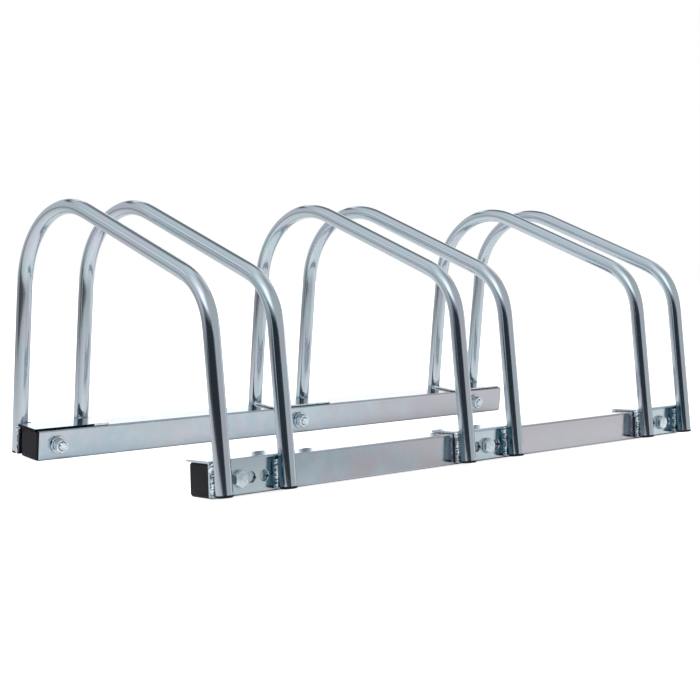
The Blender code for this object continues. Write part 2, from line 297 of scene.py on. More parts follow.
class NodeSheet:
    """Adds nodes to one node tree and links them.

    Wherever a node takes a value, the value is a socket to link, a number, a vector or a colour.
    """

    def __init__(self, tree: NodeTree) -> None:
        """Take the tree that the nodes go into."""
        self.tree = tree

    def feed(self, node: Node, inputs: dict[str | int, object]) -> None:
        """Link or set a node's inputs.

        Args:
            node: The node.
            inputs: The values by the inputs' names or numbers.
        """
        for label, value in inputs.items():
            socket = node.inputs[label]
            if isinstance(value, NodeSocket):
                self.tree.links.new(value, socket)
            else:
                socket.default_value = (*value, 1.0) if socket.type == "RGBA" else value

    def add(self, kind: str, inputs: dict[str | int, object] | None = None, **settings: object) -> NodeOutputs:
        """Add one node.

        Args:
            kind: The node's type name, without ShaderNode.
            inputs: The values by the inputs' names or numbers.
            settings: The node's own properties.

        Returns:
            Its outputs, by name or number.
        """
        node = self.tree.nodes.new(f"ShaderNode{kind}")
        for name, value in settings.items():
            setattr(node, name, value)
        self.feed(node, inputs or {})
        return node.outputs

    def math(self, operation: str, *values: object) -> NodeSocket:
        """Calculate with numbers."""
        return self.add("Math", dict(enumerate(values)), operation=operation)[0]

    def product(self, *values: object) -> NodeSocket:
        """Multiply two or more numbers."""
        return reduce(lambda first, second: self.math("MULTIPLY", first, second), values)

    def vector(self, operation: str, *values: object) -> NodeSocket:
        """Calculate with vectors, which gives a number for LENGTH and DOT_PRODUCT."""
        result = "Value" if operation in ("LENGTH", "DOT_PRODUCT") else "Vector"
        return self.add("VectorMath", dict(enumerate(values)), operation=operation)[result]

    def toward(self, place: object, direction: Point) -> NodeSocket:
        """Give the cosine between the direction of a place and another direction."""
        return self.vector("DOT_PRODUCT", self.vector("NORMALIZE", place), direction)

    def spread(self, value: object, low: object, high: object, to_low: object = 0.0, to_high: object = 1.0,
               kind: str = "SMOOTHSTEP") -> NodeSocket:
        """Change from to_low, where a value is low or beyond it, to to_high, where it is high or beyond it."""
        inputs = dict(enumerate((value, low, high, to_low, to_high)))
        return self.add("MapRange", inputs, interpolation_type=kind, clamp=True)["Result"]

    def ramp(self, value: object, low: object, high: object, to_low: object = 0.0,
             to_high: object = 1.0) -> NodeSocket:
        """Change evenly from to_low, where a value is low or beyond it, to to_high, where it is high or beyond it."""
        return self.spread(value, low, high, to_low, to_high, "LINEAR")

    def noise(self, place: object, scale: object, detail: float = 2.0, roughness: float = 0.5) -> NodeSocket:
        """Give noise about 0.5 that changes scale times in a metre, with finer layers by detail and roughness."""
        inputs = {"Vector": place, "Scale": scale, "Detail": detail, "Roughness": roughness}
        return self.add("TexNoise", inputs)["Fac"]

    def mix(self, share: object, first: object, second: object) -> NodeSocket:
        """Mix a share of the second colour into the first."""
        return self.add("Mix", {"Factor": share, 6: first, 7: second}, data_type="RGBA")[2]

    def place(self) -> NodeSocket:
        """Give the point on the object."""
        return self.add("TexCoord")["Object"]

    def parts(self, vector: object) -> NodeOutputs:
        """Split a vector into X, Y and Z."""
        return self.add("SeparateXYZ", {0: vector})

    def bump(self, height: object, relief: float) -> NodeSocket:
        """Give the normals of a surface with a fine relief, as deep as it says."""
        return self.add("Bump", {"Distance": relief, "Height": height})["Normal"]

    def show(self, shader: NodeSocket) -> None:
        """Put another shader in the place of a new material's own."""
        self.tree.nodes.remove(self.tree.nodes["Principled BSDF"])
        self.feed(self.tree.nodes["Material Output"], {"Surface": shader})


class GroupSheet(NodeSheet):
    """Makes a node group with named inputs and outputs."""

    def __init__(self, name: str, inputs: dict[str, object]) -> None:
        """Start the group.

        Args:
            name: The group's name.
            inputs: Each input's name with its default, three numbers for a vector.
        """
        super().__init__(bpy.data.node_groups.new(name, "ShaderNodeTree"))
        for label, value in inputs.items():
            kind = "NodeSocketVector" if isinstance(value, tuple) else "NodeSocketFloat"
            self.tree.interface.new_socket(label, in_out="INPUT", socket_type=kind).default_value = value
        self.given = self.tree.nodes.new("NodeGroupInput").outputs

    def put_out(self, results: dict[str, NodeSocket]) -> NodeTree:
        """Finish the group.

        Args:
            results: Each output's name with the number that it puts out.

        Returns:
            The group.
        """
        for label in results:
            self.tree.interface.new_socket(label, in_out="OUTPUT", socket_type="NodeSocketFloat")
        self.feed(self.tree.nodes.new("NodeGroupOutput"), results)
        return self.tree


class SurfaceGroups:
    """The node groups that the finishes share, each made once."""

    CHOSEN_CELLS: ClassVar[Span] = (0.72, 0.75)
    ROUNDED_EDGE: ClassVar[Span] = (0.995, 0.85)
    WORN_PATCHES: ClassVar[Span] = (0.35, 0.6)
    CLOSED_IN: ClassVar[Span] = (0.92, 0.35)
    SHADE_AND_DUST_PATCHES: ClassVar[Change] = (0.3, 0.6, 0.65, 1.0)
    BROAD_SCALE: ClassVar[float] = 2.6
    GRAIN_HEIGHT: ClassVar[float] = 0.25

    def __init__(self) -> None:
        """Make the groups."""
        self.grain = self._make_grain()
        self.flaws = self._make_flaws()
        self.wear = self._make_wear()
        self.crevice = self._make_crevice()
        self.patch = self._make_patch()

    def _make_grain(self) -> NodeTree:
        """Make the drawn or rolled grain of metal, with broad clouds and a fine height.

        Returns:
            The group.
        """
        inputs = {"Place": ORIGIN, "Stretch": EVEN, "Grain Scale": 900.0, "Cloud Scale": 25.0}
        sheet = GroupSheet("plating_grain", inputs)
        place, scale = sheet.given["Place"], sheet.given["Cloud Scale"]
        stretched = sheet.vector("MULTIPLY", place, sheet.given["Stretch"])
        grain = sheet.noise(stretched, sheet.given["Grain Scale"], detail=3.0, roughness=0.6)
        clouds = sheet.noise(place, scale, detail=3.0, roughness=0.55)
        broad = sheet.noise(place, sheet.product(scale, self.BROAD_SCALE), detail=1.0)
        height = sheet.math("ADD", sheet.product(grain, self.GRAIN_HEIGHT), broad)
        return sheet.put_out({"Grain": grain, "Clouds": clouds, "Height": height})

    def _make_flaws(self) -> NodeTree:
        """Make small specks in the plating, in some of many cells.

        Returns:
            The group.
        """
        sheet = GroupSheet("plating_flaws", {"Place": ORIGIN, "Speck Scale": 120.0, "Speck Size": 0.06})
        inputs = {"Vector": sheet.given["Place"], "Scale": sheet.given["Speck Scale"]}
        cells = sheet.add("TexVoronoi", inputs, feature="F1")
        near = sheet.spread(cells["Distance"], sheet.given["Speck Size"], 0.0)
        chosen = sheet.spread(sheet.parts(cells["Color"])["X"], *self.CHOSEN_CELLS)
        return sheet.put_out({"Specks": sheet.product(near, chosen)})

    def _make_wear(self) -> NodeTree:
        """Make a mask that is strong on worn outer edges.

        Returns:
            The group.
        """
        sheet = GroupSheet("edge_wear", {"Width": 0.0006, "Patchiness": 400.0})
        rounded = sheet.add("Bevel", {"Radius": sheet.given["Width"]}, samples=4)["Normal"]
        same = sheet.vector("DOT_PRODUCT", rounded, sheet.add("NewGeometry")["Normal"])
        patchy = sheet.spread(sheet.noise(sheet.place(), sheet.given["Patchiness"]), *self.WORN_PATCHES)
        return sheet.put_out({"Wear": sheet.product(sheet.spread(same, *self.ROUNDED_EDGE), patchy)})

    def _make_crevice(self) -> NodeTree:
        """Mask painted shade in narrow gaps and holes, where plating is also thin and dust stays.

        Returns:
            The group.
        """
        sheet = GroupSheet("crevice_shade_and_dust", {"Reach": 0.003, "Patchiness": 500.0})
        hidden = sheet.add("AmbientOcclusion", {"Distance": sheet.given["Reach"]}, samples=6)
        patchy = sheet.spread(sheet.noise(sheet.place(), sheet.given["Patchiness"]), *self.SHADE_AND_DUST_PATCHES)
        return sheet.put_out({"Shade And Dust": sheet.product(sheet.ramp(hidden["AO"], *self.CLOSED_IN), patchy)})

    def _make_patch(self) -> NodeTree:
        """Make a mask for a soft-edged patch of the studio's wall, by compass direction and height as angles.

        Returns:
            The group.
        """
        sheet = GroupSheet("studio_patch", dict.fromkeys(("Direction", "Height", *StudioPatch.INPUTS), 0.0))
        given = sheet.given
        away = sheet.math("WRAP", sheet.math("SUBTRACT", given["Direction"], given["Middle"]), math.pi, -math.pi)
        drop = sheet.product(given["Dip"], sheet.math("SUBTRACT", 1.0, sheet.math("COSINE", away)))
        top = sheet.math("SUBTRACT", given["High"], drop)

        def edge(value: NodeSocket, limit: NodeSocket, blur: NodeSocket, outer: str, inner: str) -> NodeSocket:
            """Give how far a value is on the inner side of a blurred limit."""
            return sheet.spread(value, sheet.math(outer, limit, blur), sheet.math(inner, limit, blur))

        across = edge(sheet.math("ABSOLUTE", away), given["Half Width"], given["Side Blur"], "ADD", "SUBTRACT")
        below = edge(given["Height"], top, given["Edge Blur"], "ADD", "SUBTRACT")
        above = edge(given["Height"], given["Low"], given["Edge Blur"], "SUBTRACT", "ADD")
        return sheet.put_out({"Mask": sheet.product(across, below, above)})


def new_material(name: str) -> tuple[Material, NodeSheet]:
    """Make a material.

    Args:
        name: Its name.

    Returns:
        The material with its own first nodes, and the sheet that adds to them.
    """
    material = bpy.data.materials.new(name)
    material.use_nodes = True
    return material, NodeSheet(material.node_tree)


@dataclass(frozen=True)
class Finish:
    """A finish of the rack's pieces, with its slot in the record.

    Faces that meet at more than the sharp angle, in degrees, aren't shaded as one round surface.
    """

    GRAIN_EDGES: ClassVar[Span] = (0.3, 0.7)

    name: str
    slot: Slot
    sharp: float

    def make(self, groups: SurfaceGroups) -> Material:
        """Make the material.

        Args:
            groups: The shared node groups.

        Returns:
            The finished material.
        """
        material, sheet = new_material(self.name)
        sheet.feed(material.node_tree.nodes["Principled BSDF"], self.paint(sheet, groups))
        return material

    def paint(self, sheet: NodeSheet, groups: SurfaceGroups) -> dict[str, object]:
        """Give what goes into the shader, which each finish says for itself."""
        raise NotImplementedError


@dataclass(frozen=True)
class ZincFinish(Finish):
    """Bright zinc plating on steel.

    The tint is a second colour in broad clouds. A finish with a mottle also has small spots of two hues. One with a
    warm_end turns warmer along the rack, and one with a dark_flank_top is darker beside the welds, up to that height.
    Narrow gaps and holes get painted shade, which also stands for the dust and thin plating there.
    """

    colour: Colour
    tint: Colour
    smooth: float
    dull: float
    place: Place = Place.OBJECT
    stretch: Point = EVEN
    grain_scale: float = 900.0
    cloud_scale: float = 25.0
    cloud_edges: Span = (0.36, 0.64)
    relief: float = 0.00001
    speck_size: float = 0.06
    speck_colour: Colour = (0.25, 0.22, 0.20)
    speck_share: float = 0.7
    speck_roughness: float = 0.25
    wear_width: float = 0.0005
    worn_colour: Colour = (0.78, 0.82, 0.86)
    worn_share: float = 0.5
    # Share and colour of the painted shade in narrow gaps and holes, which also stands for dust there.
    shade_and_dust: float = 0.7
    shade_and_dust_colour: Colour = (0.13, 0.20, 0.24)
    mottle: float = 0.0
    spot_scale: float = 5.0
    hue_scale: float = 2.4
    spot_edges: Span = (0.40, 0.64)
    hue_edges: Span = (0.42, 0.58)
    hues: tuple[Colour, Colour] = ((0.55, 0.68, 0.76), (0.68, 0.62, 0.68))
    warm_start: float = -0.11
    warm_end: float = 0.0
    warm_way: Point = (1.0, -0.82, 0.0)
    wander_scale: float = 16.0
    warm_wander: float = 0.6
    warm_share: float = 0.85
    warm_colour: Colour = (0.535, 0.52, 0.56)
    dark_flank_top: float = 0.0
    dark_flank_fade: float = 0.006
    dark_flank_colour: Colour = (0.10, 0.20, 0.26)
    inner_flank: Span = (-0.001, 0.002)
    outer_flank: Span = (-0.0045, -0.0062)
    outer_dark_share: float = 0.68
    outer_loops: Span = (2.8, 3.0)
    bracket_side: Span = (0.0036, 0.0020)
    straw_colour: Colour = (0.22, 0.20, 0.19)
    straw_share: float = 0.75
    straw_start: Span = (0.16, 0.18)
    straw_end: Span = (0.24, 0.22)

    def paint(self, sheet: NodeSheet, groups: SurfaceGroups) -> dict[str, object]:
        """Layer the plating's colours from the clouds up to the painted shade in crevices and darker weld flanks.

        Args:
            sheet: The material's nodes.
            groups: The shared node groups.

        Returns:
            What goes into the shader.
        """
        tube = self.place is Place.STRAIGHTENED_TUBE
        place = sheet.add("Attribute", attribute_name=self.place.value)["Vector"] if tube else sheet.place()
        inputs = {"Place": place, "Stretch": self.stretch}
        inputs |= {"Grain Scale": self.grain_scale, "Cloud Scale": self.cloud_scale}
        grain = sheet.add("Group", inputs, node_tree=groups.grain)
        specks = sheet.add("Group", {"Place": place, "Speck Size": self.speck_size}, node_tree=groups.flaws)["Specks"]
        wear = sheet.add("Group", {"Width": self.wear_width}, node_tree=groups.wear)["Wear"]
        colour = sheet.mix(sheet.spread(grain["Clouds"], *self.cloud_edges), self.colour, self.tint)
        if self.mottle:
            colour = self._mottle(sheet, place, colour)
        colour = sheet.mix(sheet.product(wear, self.worn_share), colour, self.worn_colour)
        colour = sheet.mix(sheet.product(specks, self.speck_share), colour, self.speck_colour)
        if self.warm_end:
            colour = sheet.mix(self._find_warmth(sheet), colour, self.warm_colour)
        # Painted shade in narrow gaps and holes, from ambient occlusion, also standing for dust and thin plating.
        shade_and_dust = sheet.add("Group", node_tree=groups.crevice)["Shade And Dust"]
        colour = sheet.mix(sheet.product(shade_and_dust, self.shade_and_dust), colour, self.shade_and_dust_colour)
        # Darker colour low on the legs' flanks beside the welds.
        if self.dark_flank_top:
            colour = self._darken_flanks(sheet, place, colour)
        rough = sheet.spread(grain["Grain"], *self.GRAIN_EDGES, self.smooth, self.dull)
        rough = sheet.math("ADD", rough, sheet.product(specks, self.speck_roughness))
        normal = sheet.bump(grain["Height"], self.relief)
        return {"Metallic": 1.0, "Base Color": colour, "Roughness": rough, "Normal": normal}

    def _mottle(self, sheet: NodeSheet, place: NodeSocket, colour: NodeSocket) -> NodeSocket:
        """Lay small spots of two hues over a colour.

        Args:
            sheet: The material's nodes.
            place: The point that the pattern follows.
            colour: The colour under them.

        Returns:
            The new colour.
        """
        spots = sheet.noise(place, self.spot_scale * self.cloud_scale, detail=4.0, roughness=0.65)
        spots = sheet.spread(spots, *self.spot_edges)
        hue = sheet.noise(place, self.hue_scale * self.cloud_scale, detail=3.0, roughness=0.6)
        hue = sheet.spread(hue, *self.hue_edges)
        return sheet.mix(sheet.product(spots, self.mottle), colour, sheet.mix(hue, *self.hues))

    def _find_warmth(self, sheet: NodeSheet) -> NodeSocket:
        """Mask the warmer tinge that plating takes towards one end of a long part.

        Args:
            sheet: The material's nodes.

        Returns:
            The mask.
        """
        place = sheet.place()
        wander = sheet.math("SUBTRACT", sheet.noise(place, self.wander_scale, detail=4.0, roughness=0.6), 0.5)
        along = sheet.vector("DOT_PRODUCT", place, self.warm_way)
        along = sheet.math("ADD", along, sheet.product(wander, self.warm_wander))
        return sheet.spread(along, self.warm_start, self.warm_end, 0.0, self.warm_share)

    def _darken_flanks(self, sheet: NodeSheet, place: NodeSocket, colour: NodeSocket) -> NodeSocket:
        """Darken a colour beside a weld, low on a leg where it faces its neighbour and the bracket.

        The later loops have some on the other flank too, and one leg's is straw-coloured.

        Args:
            sheet: The material's nodes.
            place: The point on the straight tube.
            colour: The colour under it.

        Returns:
            The new colour.
        """
        tube, rack = sheet.parts(place), sheet.parts(sheet.place())
        inner = sheet.spread(tube["X"], *self.inner_flank)
        outer = sheet.product(sheet.spread(tube["X"], *self.outer_flank), self.outer_dark_share)
        outer = sheet.product(outer, sheet.spread(tube["Z"], *self.outer_loops))
        back = sheet.spread(tube["Y"], *self.bracket_side)
        low = sheet.spread(rack["Z"], self.dark_flank_top + self.dark_flank_fade, self.dark_flank_top)
        straw = sheet.spread(rack["X"], *self.straw_start, 0.0, self.straw_share)
        straw = sheet.product(straw, sheet.spread(rack["X"], *self.straw_end))
        flank_colour = sheet.mix(straw, self.dark_flank_colour, self.straw_colour)
        return sheet.mix(sheet.product(sheet.math("MAXIMUM", inner, outer), back, low), colour, flank_colour)


@dataclass(frozen=True)
class EdgeFinish(Finish):
    """A sheet edge whose dark colour paints shade and a dark reflection on it.

    It is painted black at the rack's left end as the shadow under the flange, clean next to that and painted dark
    elsewhere. The rear flanges' edges are dark only in their lower half, a painted contact shadow along the rail.
    """

    # The painted dark of a dark reflection, and the painted black of the shadow at the left end.
    colour: Colour
    black: Colour
    clean: Colour = (0.80, 0.83, 0.86)
    shadow_black_end: Span = (-0.2702, -0.2718)
    clean_end: Span = (-0.23, -0.24)
    shadow_line_share: float = 0.45
    shadow_line_blur: float = 0.0003
    stretch: Point = (1.0, 1.0, 0.3)
    line_edges: Change = (0.35, 0.65, 0.7, 1.3)
    roughness: Span = (0.35, 0.5)
    relief: float = 0.00004

    def paint(self, sheet: NodeSheet, groups: SurfaceGroups) -> dict[str, object]:
        """Lay the clean part and the painted black shadow over the painted dark edge, then draw the shears' lines.

        Args:
            sheet: The material's nodes.
            groups: The shared node groups.

        Returns:
            What goes into the shader.
        """
        place = sheet.place()
        parts = sheet.parts(place)
        grain = sheet.add("Group", {"Place": place, "Stretch": self.stretch}, node_tree=groups.grain)
        # Below this height the edge keeps its painted dark, a painted contact shadow along the rail.
        shadow_line = REAR.matrix @ Vector((0, -SIZES.half_side, SIZES.bracket_back + self.shadow_line_share * SIZES.sheet))
        upper = sheet.spread(parts["Z"], shadow_line.z - self.shadow_line_blur, shadow_line.z + self.shadow_line_blur)
        clean = sheet.math("MAXIMUM", sheet.spread(parts["X"], *self.clean_end), upper)
        colour = sheet.mix(clean, self.colour, self.clean)
        # Painted black shadow at the rack's left end.
        colour = sheet.mix(sheet.spread(parts["X"], *self.shadow_black_end), colour, self.black)
        lines = sheet.spread(grain["Grain"], *self.line_edges)
        streaked = sheet.add("VectorMath", {0: colour, "Scale": lines}, operation="SCALE")[0]
        rough = sheet.spread(grain["Grain"], *self.GRAIN_EDGES, *self.roughness)
        normal = sheet.bump(grain["Height"], self.relief)
        return {"Metallic": 1.0, "Base Color": streaked, "Roughness": rough, "Normal": normal}


@dataclass(frozen=True)
class PlasticFinish(Finish):
    """Moulded black plastic with a fine matte grain and paler worn edges."""

    colour: Colour
    scuffed: Colour
    roughness: Span
    specular: float = 0.22
    grain_scale: float = 2600.0
    cloud_scale: float = 140.0
    cloud_edges: Change = (0.35, 0.75, 0.0, 0.35)
    worn_share: float = 0.5
    relief: float = 0.00004

    def paint(self, sheet: NodeSheet, groups: SurfaceGroups) -> dict[str, object]:
        """Lay paler clouds and worn edges over the black.

        Args:
            sheet: The material's nodes.
            groups: The shared node groups.

        Returns:
            What goes into the shader.
        """
        inputs = {"Place": sheet.place(), "Grain Scale": self.grain_scale, "Cloud Scale": self.cloud_scale}
        grain = sheet.add("Group", inputs, node_tree=groups.grain)
        wear = sheet.product(sheet.add("Group", node_tree=groups.wear)["Wear"], self.worn_share)
        share = sheet.math("MAXIMUM", sheet.spread(grain["Clouds"], *self.cloud_edges), wear)
        return {
            "Specular IOR Level": self.specular,
            "Base Color": sheet.mix(share, self.colour, self.scuffed),
            "Roughness": sheet.spread(grain["Grain"], *self.GRAIN_EDGES, *self.roughness),
            "Normal": sheet.bump(grain["Grain"], self.relief),
        }


TUBE_ZINC = ZincFinish(
    "bright_zinc_tube", Slot.TUBE, 60.0, (0.565, 0.675, 0.72), (0.61, 0.65, 0.725), 0.06, 0.14,
    place=Place.STRAIGHTENED_TUBE, stretch=(1.0, 1.0, 0.012), grain_scale=1500.0, cloud_scale=26.0,
    dark_flank_top=0.032,
)
RAIL_ZINC = ZincFinish(
    "rolled_zinc_rail", Slot.RAIL, 35.0, (0.48, 0.585, 0.66), (0.55, 0.61, 0.66), 0.09, 0.17,
    stretch=(0.05, 1.0, 1.0), grain_scale=1100.0, cloud_scale=14.0, relief=0.000005, warm_end=0.06, mottle=0.5,
)
SHEET_ZINC = ZincFinish(
    "pressed_zinc_sheet", Slot.SHEET, 35.0, (0.57, 0.68, 0.74), (0.63, 0.72, 0.77), 0.10, 0.18,
    stretch=(0.4, 1.0, 1.0), grain_scale=1300.0, cloud_scale=30.0, relief=0.000006,
)
FASTENER_ZINC = ZincFinish(
    "bright_zinc_fastener", Slot.FASTENER, 25.0, (0.81, 0.89, 0.93), (0.60, 0.70, 0.77), 0.11, 0.24,
    grain_scale=1800.0, cloud_scale=330.0, relief=0.00003, shade_and_dust=0.3,
)
WELD_ZINC = ZincFinish(
    "plated_weld", Slot.SHEET, 80.0, (0.86, 0.92, 0.95), (0.34, 0.43, 0.48), 0.04, 0.14,
    cloud_scale=200.0, relief=0.00012, speck_size=0.30, speck_colour=(0.10, 0.075, 0.055), shade_and_dust=0.4,
)
# Painted shade: dark for a dark reflection on sheet edges, black for the shadow at the left end.
SHADED_EDGE = EdgeFinish("painted_shade_edge", Slot.SHEET, 35.0, (0.12, 0.13, 0.15), (0.004, 0.005, 0.008))
BLACK_PLASTIC = PlasticFinish(
    "black_plastic_grain", Slot.PLASTIC, 50.0, (0.007, 0.007, 0.010), (0.020, 0.020, 0.026), (0.42, 0.6),
)
FINISHES = (TUBE_ZINC, RAIL_ZINC, SHEET_ZINC, FASTENER_ZINC, WELD_ZINC, SHADED_EDGE, BLACK_PLASTIC)


def add_object(name: str, data: bpy.types.ID) -> Object:
    """Put a new object in the scene.

    Args:
        name: Its name.
        data: Its mesh, lamp or camera.

    Returns:
        The object.
    """
    item = bpy.data.objects.new(name, data)
    bpy.context.scene.collection.objects.link(item)
    return item


def add_mesh(name: str, bm: BMesh, material: Material | None = None) -> Object:
    """Put a new mesh object in the scene.

    Args:
        name: Its name.
        bm: Its mesh, which is used up.
        material: Its material.

    Returns:
        The object.
    """
    mesh = bpy.data.meshes.new(name)
    bm.to_mesh(mesh)
    bm.free()
    if material:
        mesh.materials.append(material)
    return add_object(name, mesh)


def add_modifier(item: Object, name: str, kind: str, **settings: object) -> None:
    """Add a modifier to an object.

    Args:
        item: The object.
        name: The modifier's name.
        kind: Its type.
        settings: Its own properties.
    """
    modifier = item.modifiers.new(name, kind)
    for label, value in settings.items():
        setattr(modifier, label, value)


def give_wall(item: Object, wall: float) -> None:
    """Give a skin a wall of a certain thickness on its inner side."""
    add_modifier(item, "wall", "SOLIDIFY", thickness=wall, offset=-1.0, use_even_offset=True, use_rim=True)


def soften(item: Object, width: float, angle: float = 30.0) -> None:
    """Round a piece's edges a little and keep its flat faces flat.

    Args:
        item: The piece.
        width: How wide the rounding is.
        angle: The angle in degrees above which an edge is rounded.
    """
    add_modifier(item, "soft_edges", "BEVEL", width=width, segments=2, limit_method="ANGLE",
                 angle_limit=math.radians(angle), harden_normals=False, use_clamp_overlap=True)
    add_modifier(item, "flat_faces", "WEIGHTED_NORMAL", keep_sharp=True, weight=100)


def settle(item: Object, finish: Finish) -> None:
    """Apply a piece's modifiers and mark its sharp edges again.

    Args:
        item: The piece.
        finish: Its finish.
    """
    graph = bpy.context.evaluated_depsgraph_get()
    rough = item.data
    mesh = bpy.data.meshes.new_from_object(item.evaluated_get(graph), preserve_all_data_layers=True, depsgraph=graph)
    mesh.set_sharp_from_angle(angle=math.radians(finish.sharp))
    item.modifiers.clear()
    item.data = mesh
    bpy.data.meshes.remove(rough)


def cut_holes(item: Object, finish: Finish, places: Iterable[float], radius: float, matrix: Matrix) -> None:
    """Cut round holes along a rail's Y right through a piece.

    Args:
        item: The piece.
        finish: Its finish.
        places: Where the holes are along X, in the rail's frame.
        radius: Each hole's radius.
        matrix: The rail's matrix.
    """
    bm = bmesh.new()
    for x in places:
        turn = Matrix.Translation((x, 0, 0)) @ Matrix.Rotation(QUARTER, 4, "X")
        bmesh.ops.create_cone(
            bm, cap_ends=True, segments=ROUND_STEPS, radius1=radius, radius2=radius,
            depth=3 * SIZES.rail_side, matrix=turn,
        )
    bmesh.ops.transform(bm, matrix=matrix, verts=bm.verts)
    cutter = add_mesh("hole_cutter", bm)
    mesh = cutter.data
    add_modifier(item, "holes", "BOOLEAN", operation="DIFFERENCE", solver="EXACT", object=cutter)
    settle(item, finish)
    bpy.data.objects.remove(cutter)
    bpy.data.meshes.remove(mesh)


def round_edges(bm: BMesh, edges: list[BMEdge], radius: float, steps: int) -> None:
    """Round some edges of a mesh with a radius in a number of steps."""
    bmesh.ops.bevel(bm, geom=edges, offset=radius, offset_type="OFFSET", segments=steps, profile=0.5,
                    affect="EDGES", material=-1)


def new_bar(length: float, side: float, corner: float) -> BMesh:
    """Make a square bar along X with rounded long edges.

    Args:
        length: Its length.
        side: Its width and height.
        corner: The radius of its long edges.

    Returns:
        The closed mesh.
    """
    bm = bmesh.new()
    bmesh.ops.create_cube(bm, size=1.0)
    bmesh.ops.scale(bm, vec=(length, side, side), verts=bm.verts)
    long_edges = [edge for edge in bm.edges if edge.verts[0].co.yz == edge.verts[1].co.yz]
    round_edges(bm, long_edges, corner, 6)
    return bm


def pick(geom: Iterable[object], kind: type) -> list:
    """Pick the vertices, edges or faces out of an operator's result."""
    return [item for item in geom if isinstance(item, kind)]


def turn_profile(points: list[Pair], closed: bool = False) -> BMesh:
    """Turn a profile about Z.

    Args:
        points: The profile as pairs of radius and height.
        closed: Whether the last point joins the first, as in a washer.

    Returns:
        The closed mesh.
    """
    bm = bmesh.new()
    verts = [bm.verts.new((radius, 0, height)) for radius, height in points]
    edges = [bm.edges.new(pair) for pair in zip(verts, verts[1:])]
    if closed:
        edges.append(bm.edges.new((verts[-1], verts[0])))
    bmesh.ops.spin(
        bm, geom=verts + edges, cent=ORIGIN, axis=(0, 0, 1), angle=math.tau, steps=ROUND_STEPS, use_merge=True,
    )
    bmesh.ops.remove_doubles(bm, verts=bm.verts, dist=TOLERANCE)
    return bm


def mill_hexagon(bm: BMesh) -> None:
    """Mill six flats round Z, with a corner on +Y, on the part of a mesh that is wide enough.

    Args:
        bm: The closed mesh.
    """
    for i in range(6):
        angle = math.radians(60 * i)
        normal = Vector((math.cos(angle), math.sin(angle), 0))
        cut = bmesh.ops.bisect_plane(
            bm, geom=bm.verts[:] + bm.edges[:] + bm.faces[:], dist=CUT_TOLERANCE,
            plane_co=normal * SIZES.across_flats / 2, plane_no=normal, clear_outer=True,
        )
        bmesh.ops.contextual_create(bm, geom=pick(cut["geom_cut"], BMEdge))
    bmesh.ops.remove_doubles(bm, verts=bm.verts, dist=CUT_TOLERANCE)


def arc(centre: Pair, radius: float, first: float, last: float, steps: int) -> list[Pair]:
    """Give points round an arc.

    Args:
        centre: The arc's centre.
        radius: Its radius.
        first: The angle that it starts at.
        last: The angle that it ends at.
        steps: How many steps it has.

    Returns:
        The points as pairs of numbers.
    """
    angles = [first + (last - first) * i / steps for i in range(steps + 1)]
    return [(centre[0] + radius * math.cos(angle), centre[1] + radius * math.sin(angle)) for angle in angles]


def inner_way(loop: int) -> int:
    """Give which way the other loop of a numbered loop's pair is along X."""
    return 1 if loop % 2 else -1


class Workshop:
    """Turns finished meshes into pieces of the rack and reports them."""

    def __init__(self) -> None:
        """Make every material once."""
        self.groups = SurfaceGroups()
        self.materials = {finish.name: finish.make(self.groups) for finish in FINISHES}

    def piece(self, name: str, bm: BMesh, finish: Finish, node: str | None = None) -> Object:
        """Make a piece that rides on the rack.

        Args:
            name: The piece's name.
            bm: Its mesh, in place, which is used up.
            finish: Its finish.
            node: The CAD node that it stands for.

        Returns:
            The new object.
        """
        bmesh.ops.recalc_face_normals(bm, faces=bm.faces)
        item = add_mesh(name, bm, self.materials[finish.name])
        item.data.shade_smooth()
        item.data.set_sharp_from_angle(angle=math.radians(finish.sharp))
        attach(item, BODY)
        if node:
            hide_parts(node)
        return item

    def report(self, item: Object, node: str | None = None) -> None:
        """Log a piece and how far its box is from its CAD node's box.

        Args:
            item: The piece.
            node: The CAD node that it stands for.
        """
        faces = len(item.data.polygons)
        if node is None:
            LOG.info("%s: %d faces", item.name, faces)
            return
        corners = item.evaluated_get(bpy.context.evaluated_depsgraph_get()).bound_box
        low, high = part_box(node)
        gaps = [(min(line) - low[i], max(line) - high[i]) for i, line in enumerate(zip(*map(tuple, corners)))]
        gap = max(abs(value) for pair in gaps for value in pair) / MILLIMETRE
        LOG.info("%s: %d faces, %.2f mm from its node's box", item.name, faces, gap)


@dataclass(frozen=True)
class Part:
    """A part of the rack, with the workshop that makes its pieces."""

    shop: Workshop


@dataclass(frozen=True)
class Rail(Part):
    """A square tube with rounded corners and a bolt hole for each bracket."""

    unit: RailUnit
    edge: float = 0.15 * MILLIMETRE

    def build(self) -> None:
        """Build the tube, give it a wall and drill it."""
        bm = new_bar(SIZES.rail_length, SIZES.rail_side, SIZES.rail_corner)
        ends = [face for face in bm.faces if abs(face.normal.x) > ALIGNED]
        bmesh.ops.delete(bm, geom=ends, context="FACES_ONLY")
        bmesh.ops.transform(bm, matrix=self.unit.matrix, verts=bm.verts)
        node = f"{self.unit.name}_rail"
        rail = self.shop.piece(f"{node}_tube", bm, RAIL_ZINC, node)
        give_wall(rail, SIZES.rail_wall)
        settle(rail, RAIL_ZINC)
        holes = [self.unit.bolt_place(pair) for pair in PairName]
        cut_holes(rail, RAIL_ZINC, holes, SIZES.rail_hole_radius, self.unit.matrix)
        soften(rail, self.edge)
        self.shop.report(rail, node)


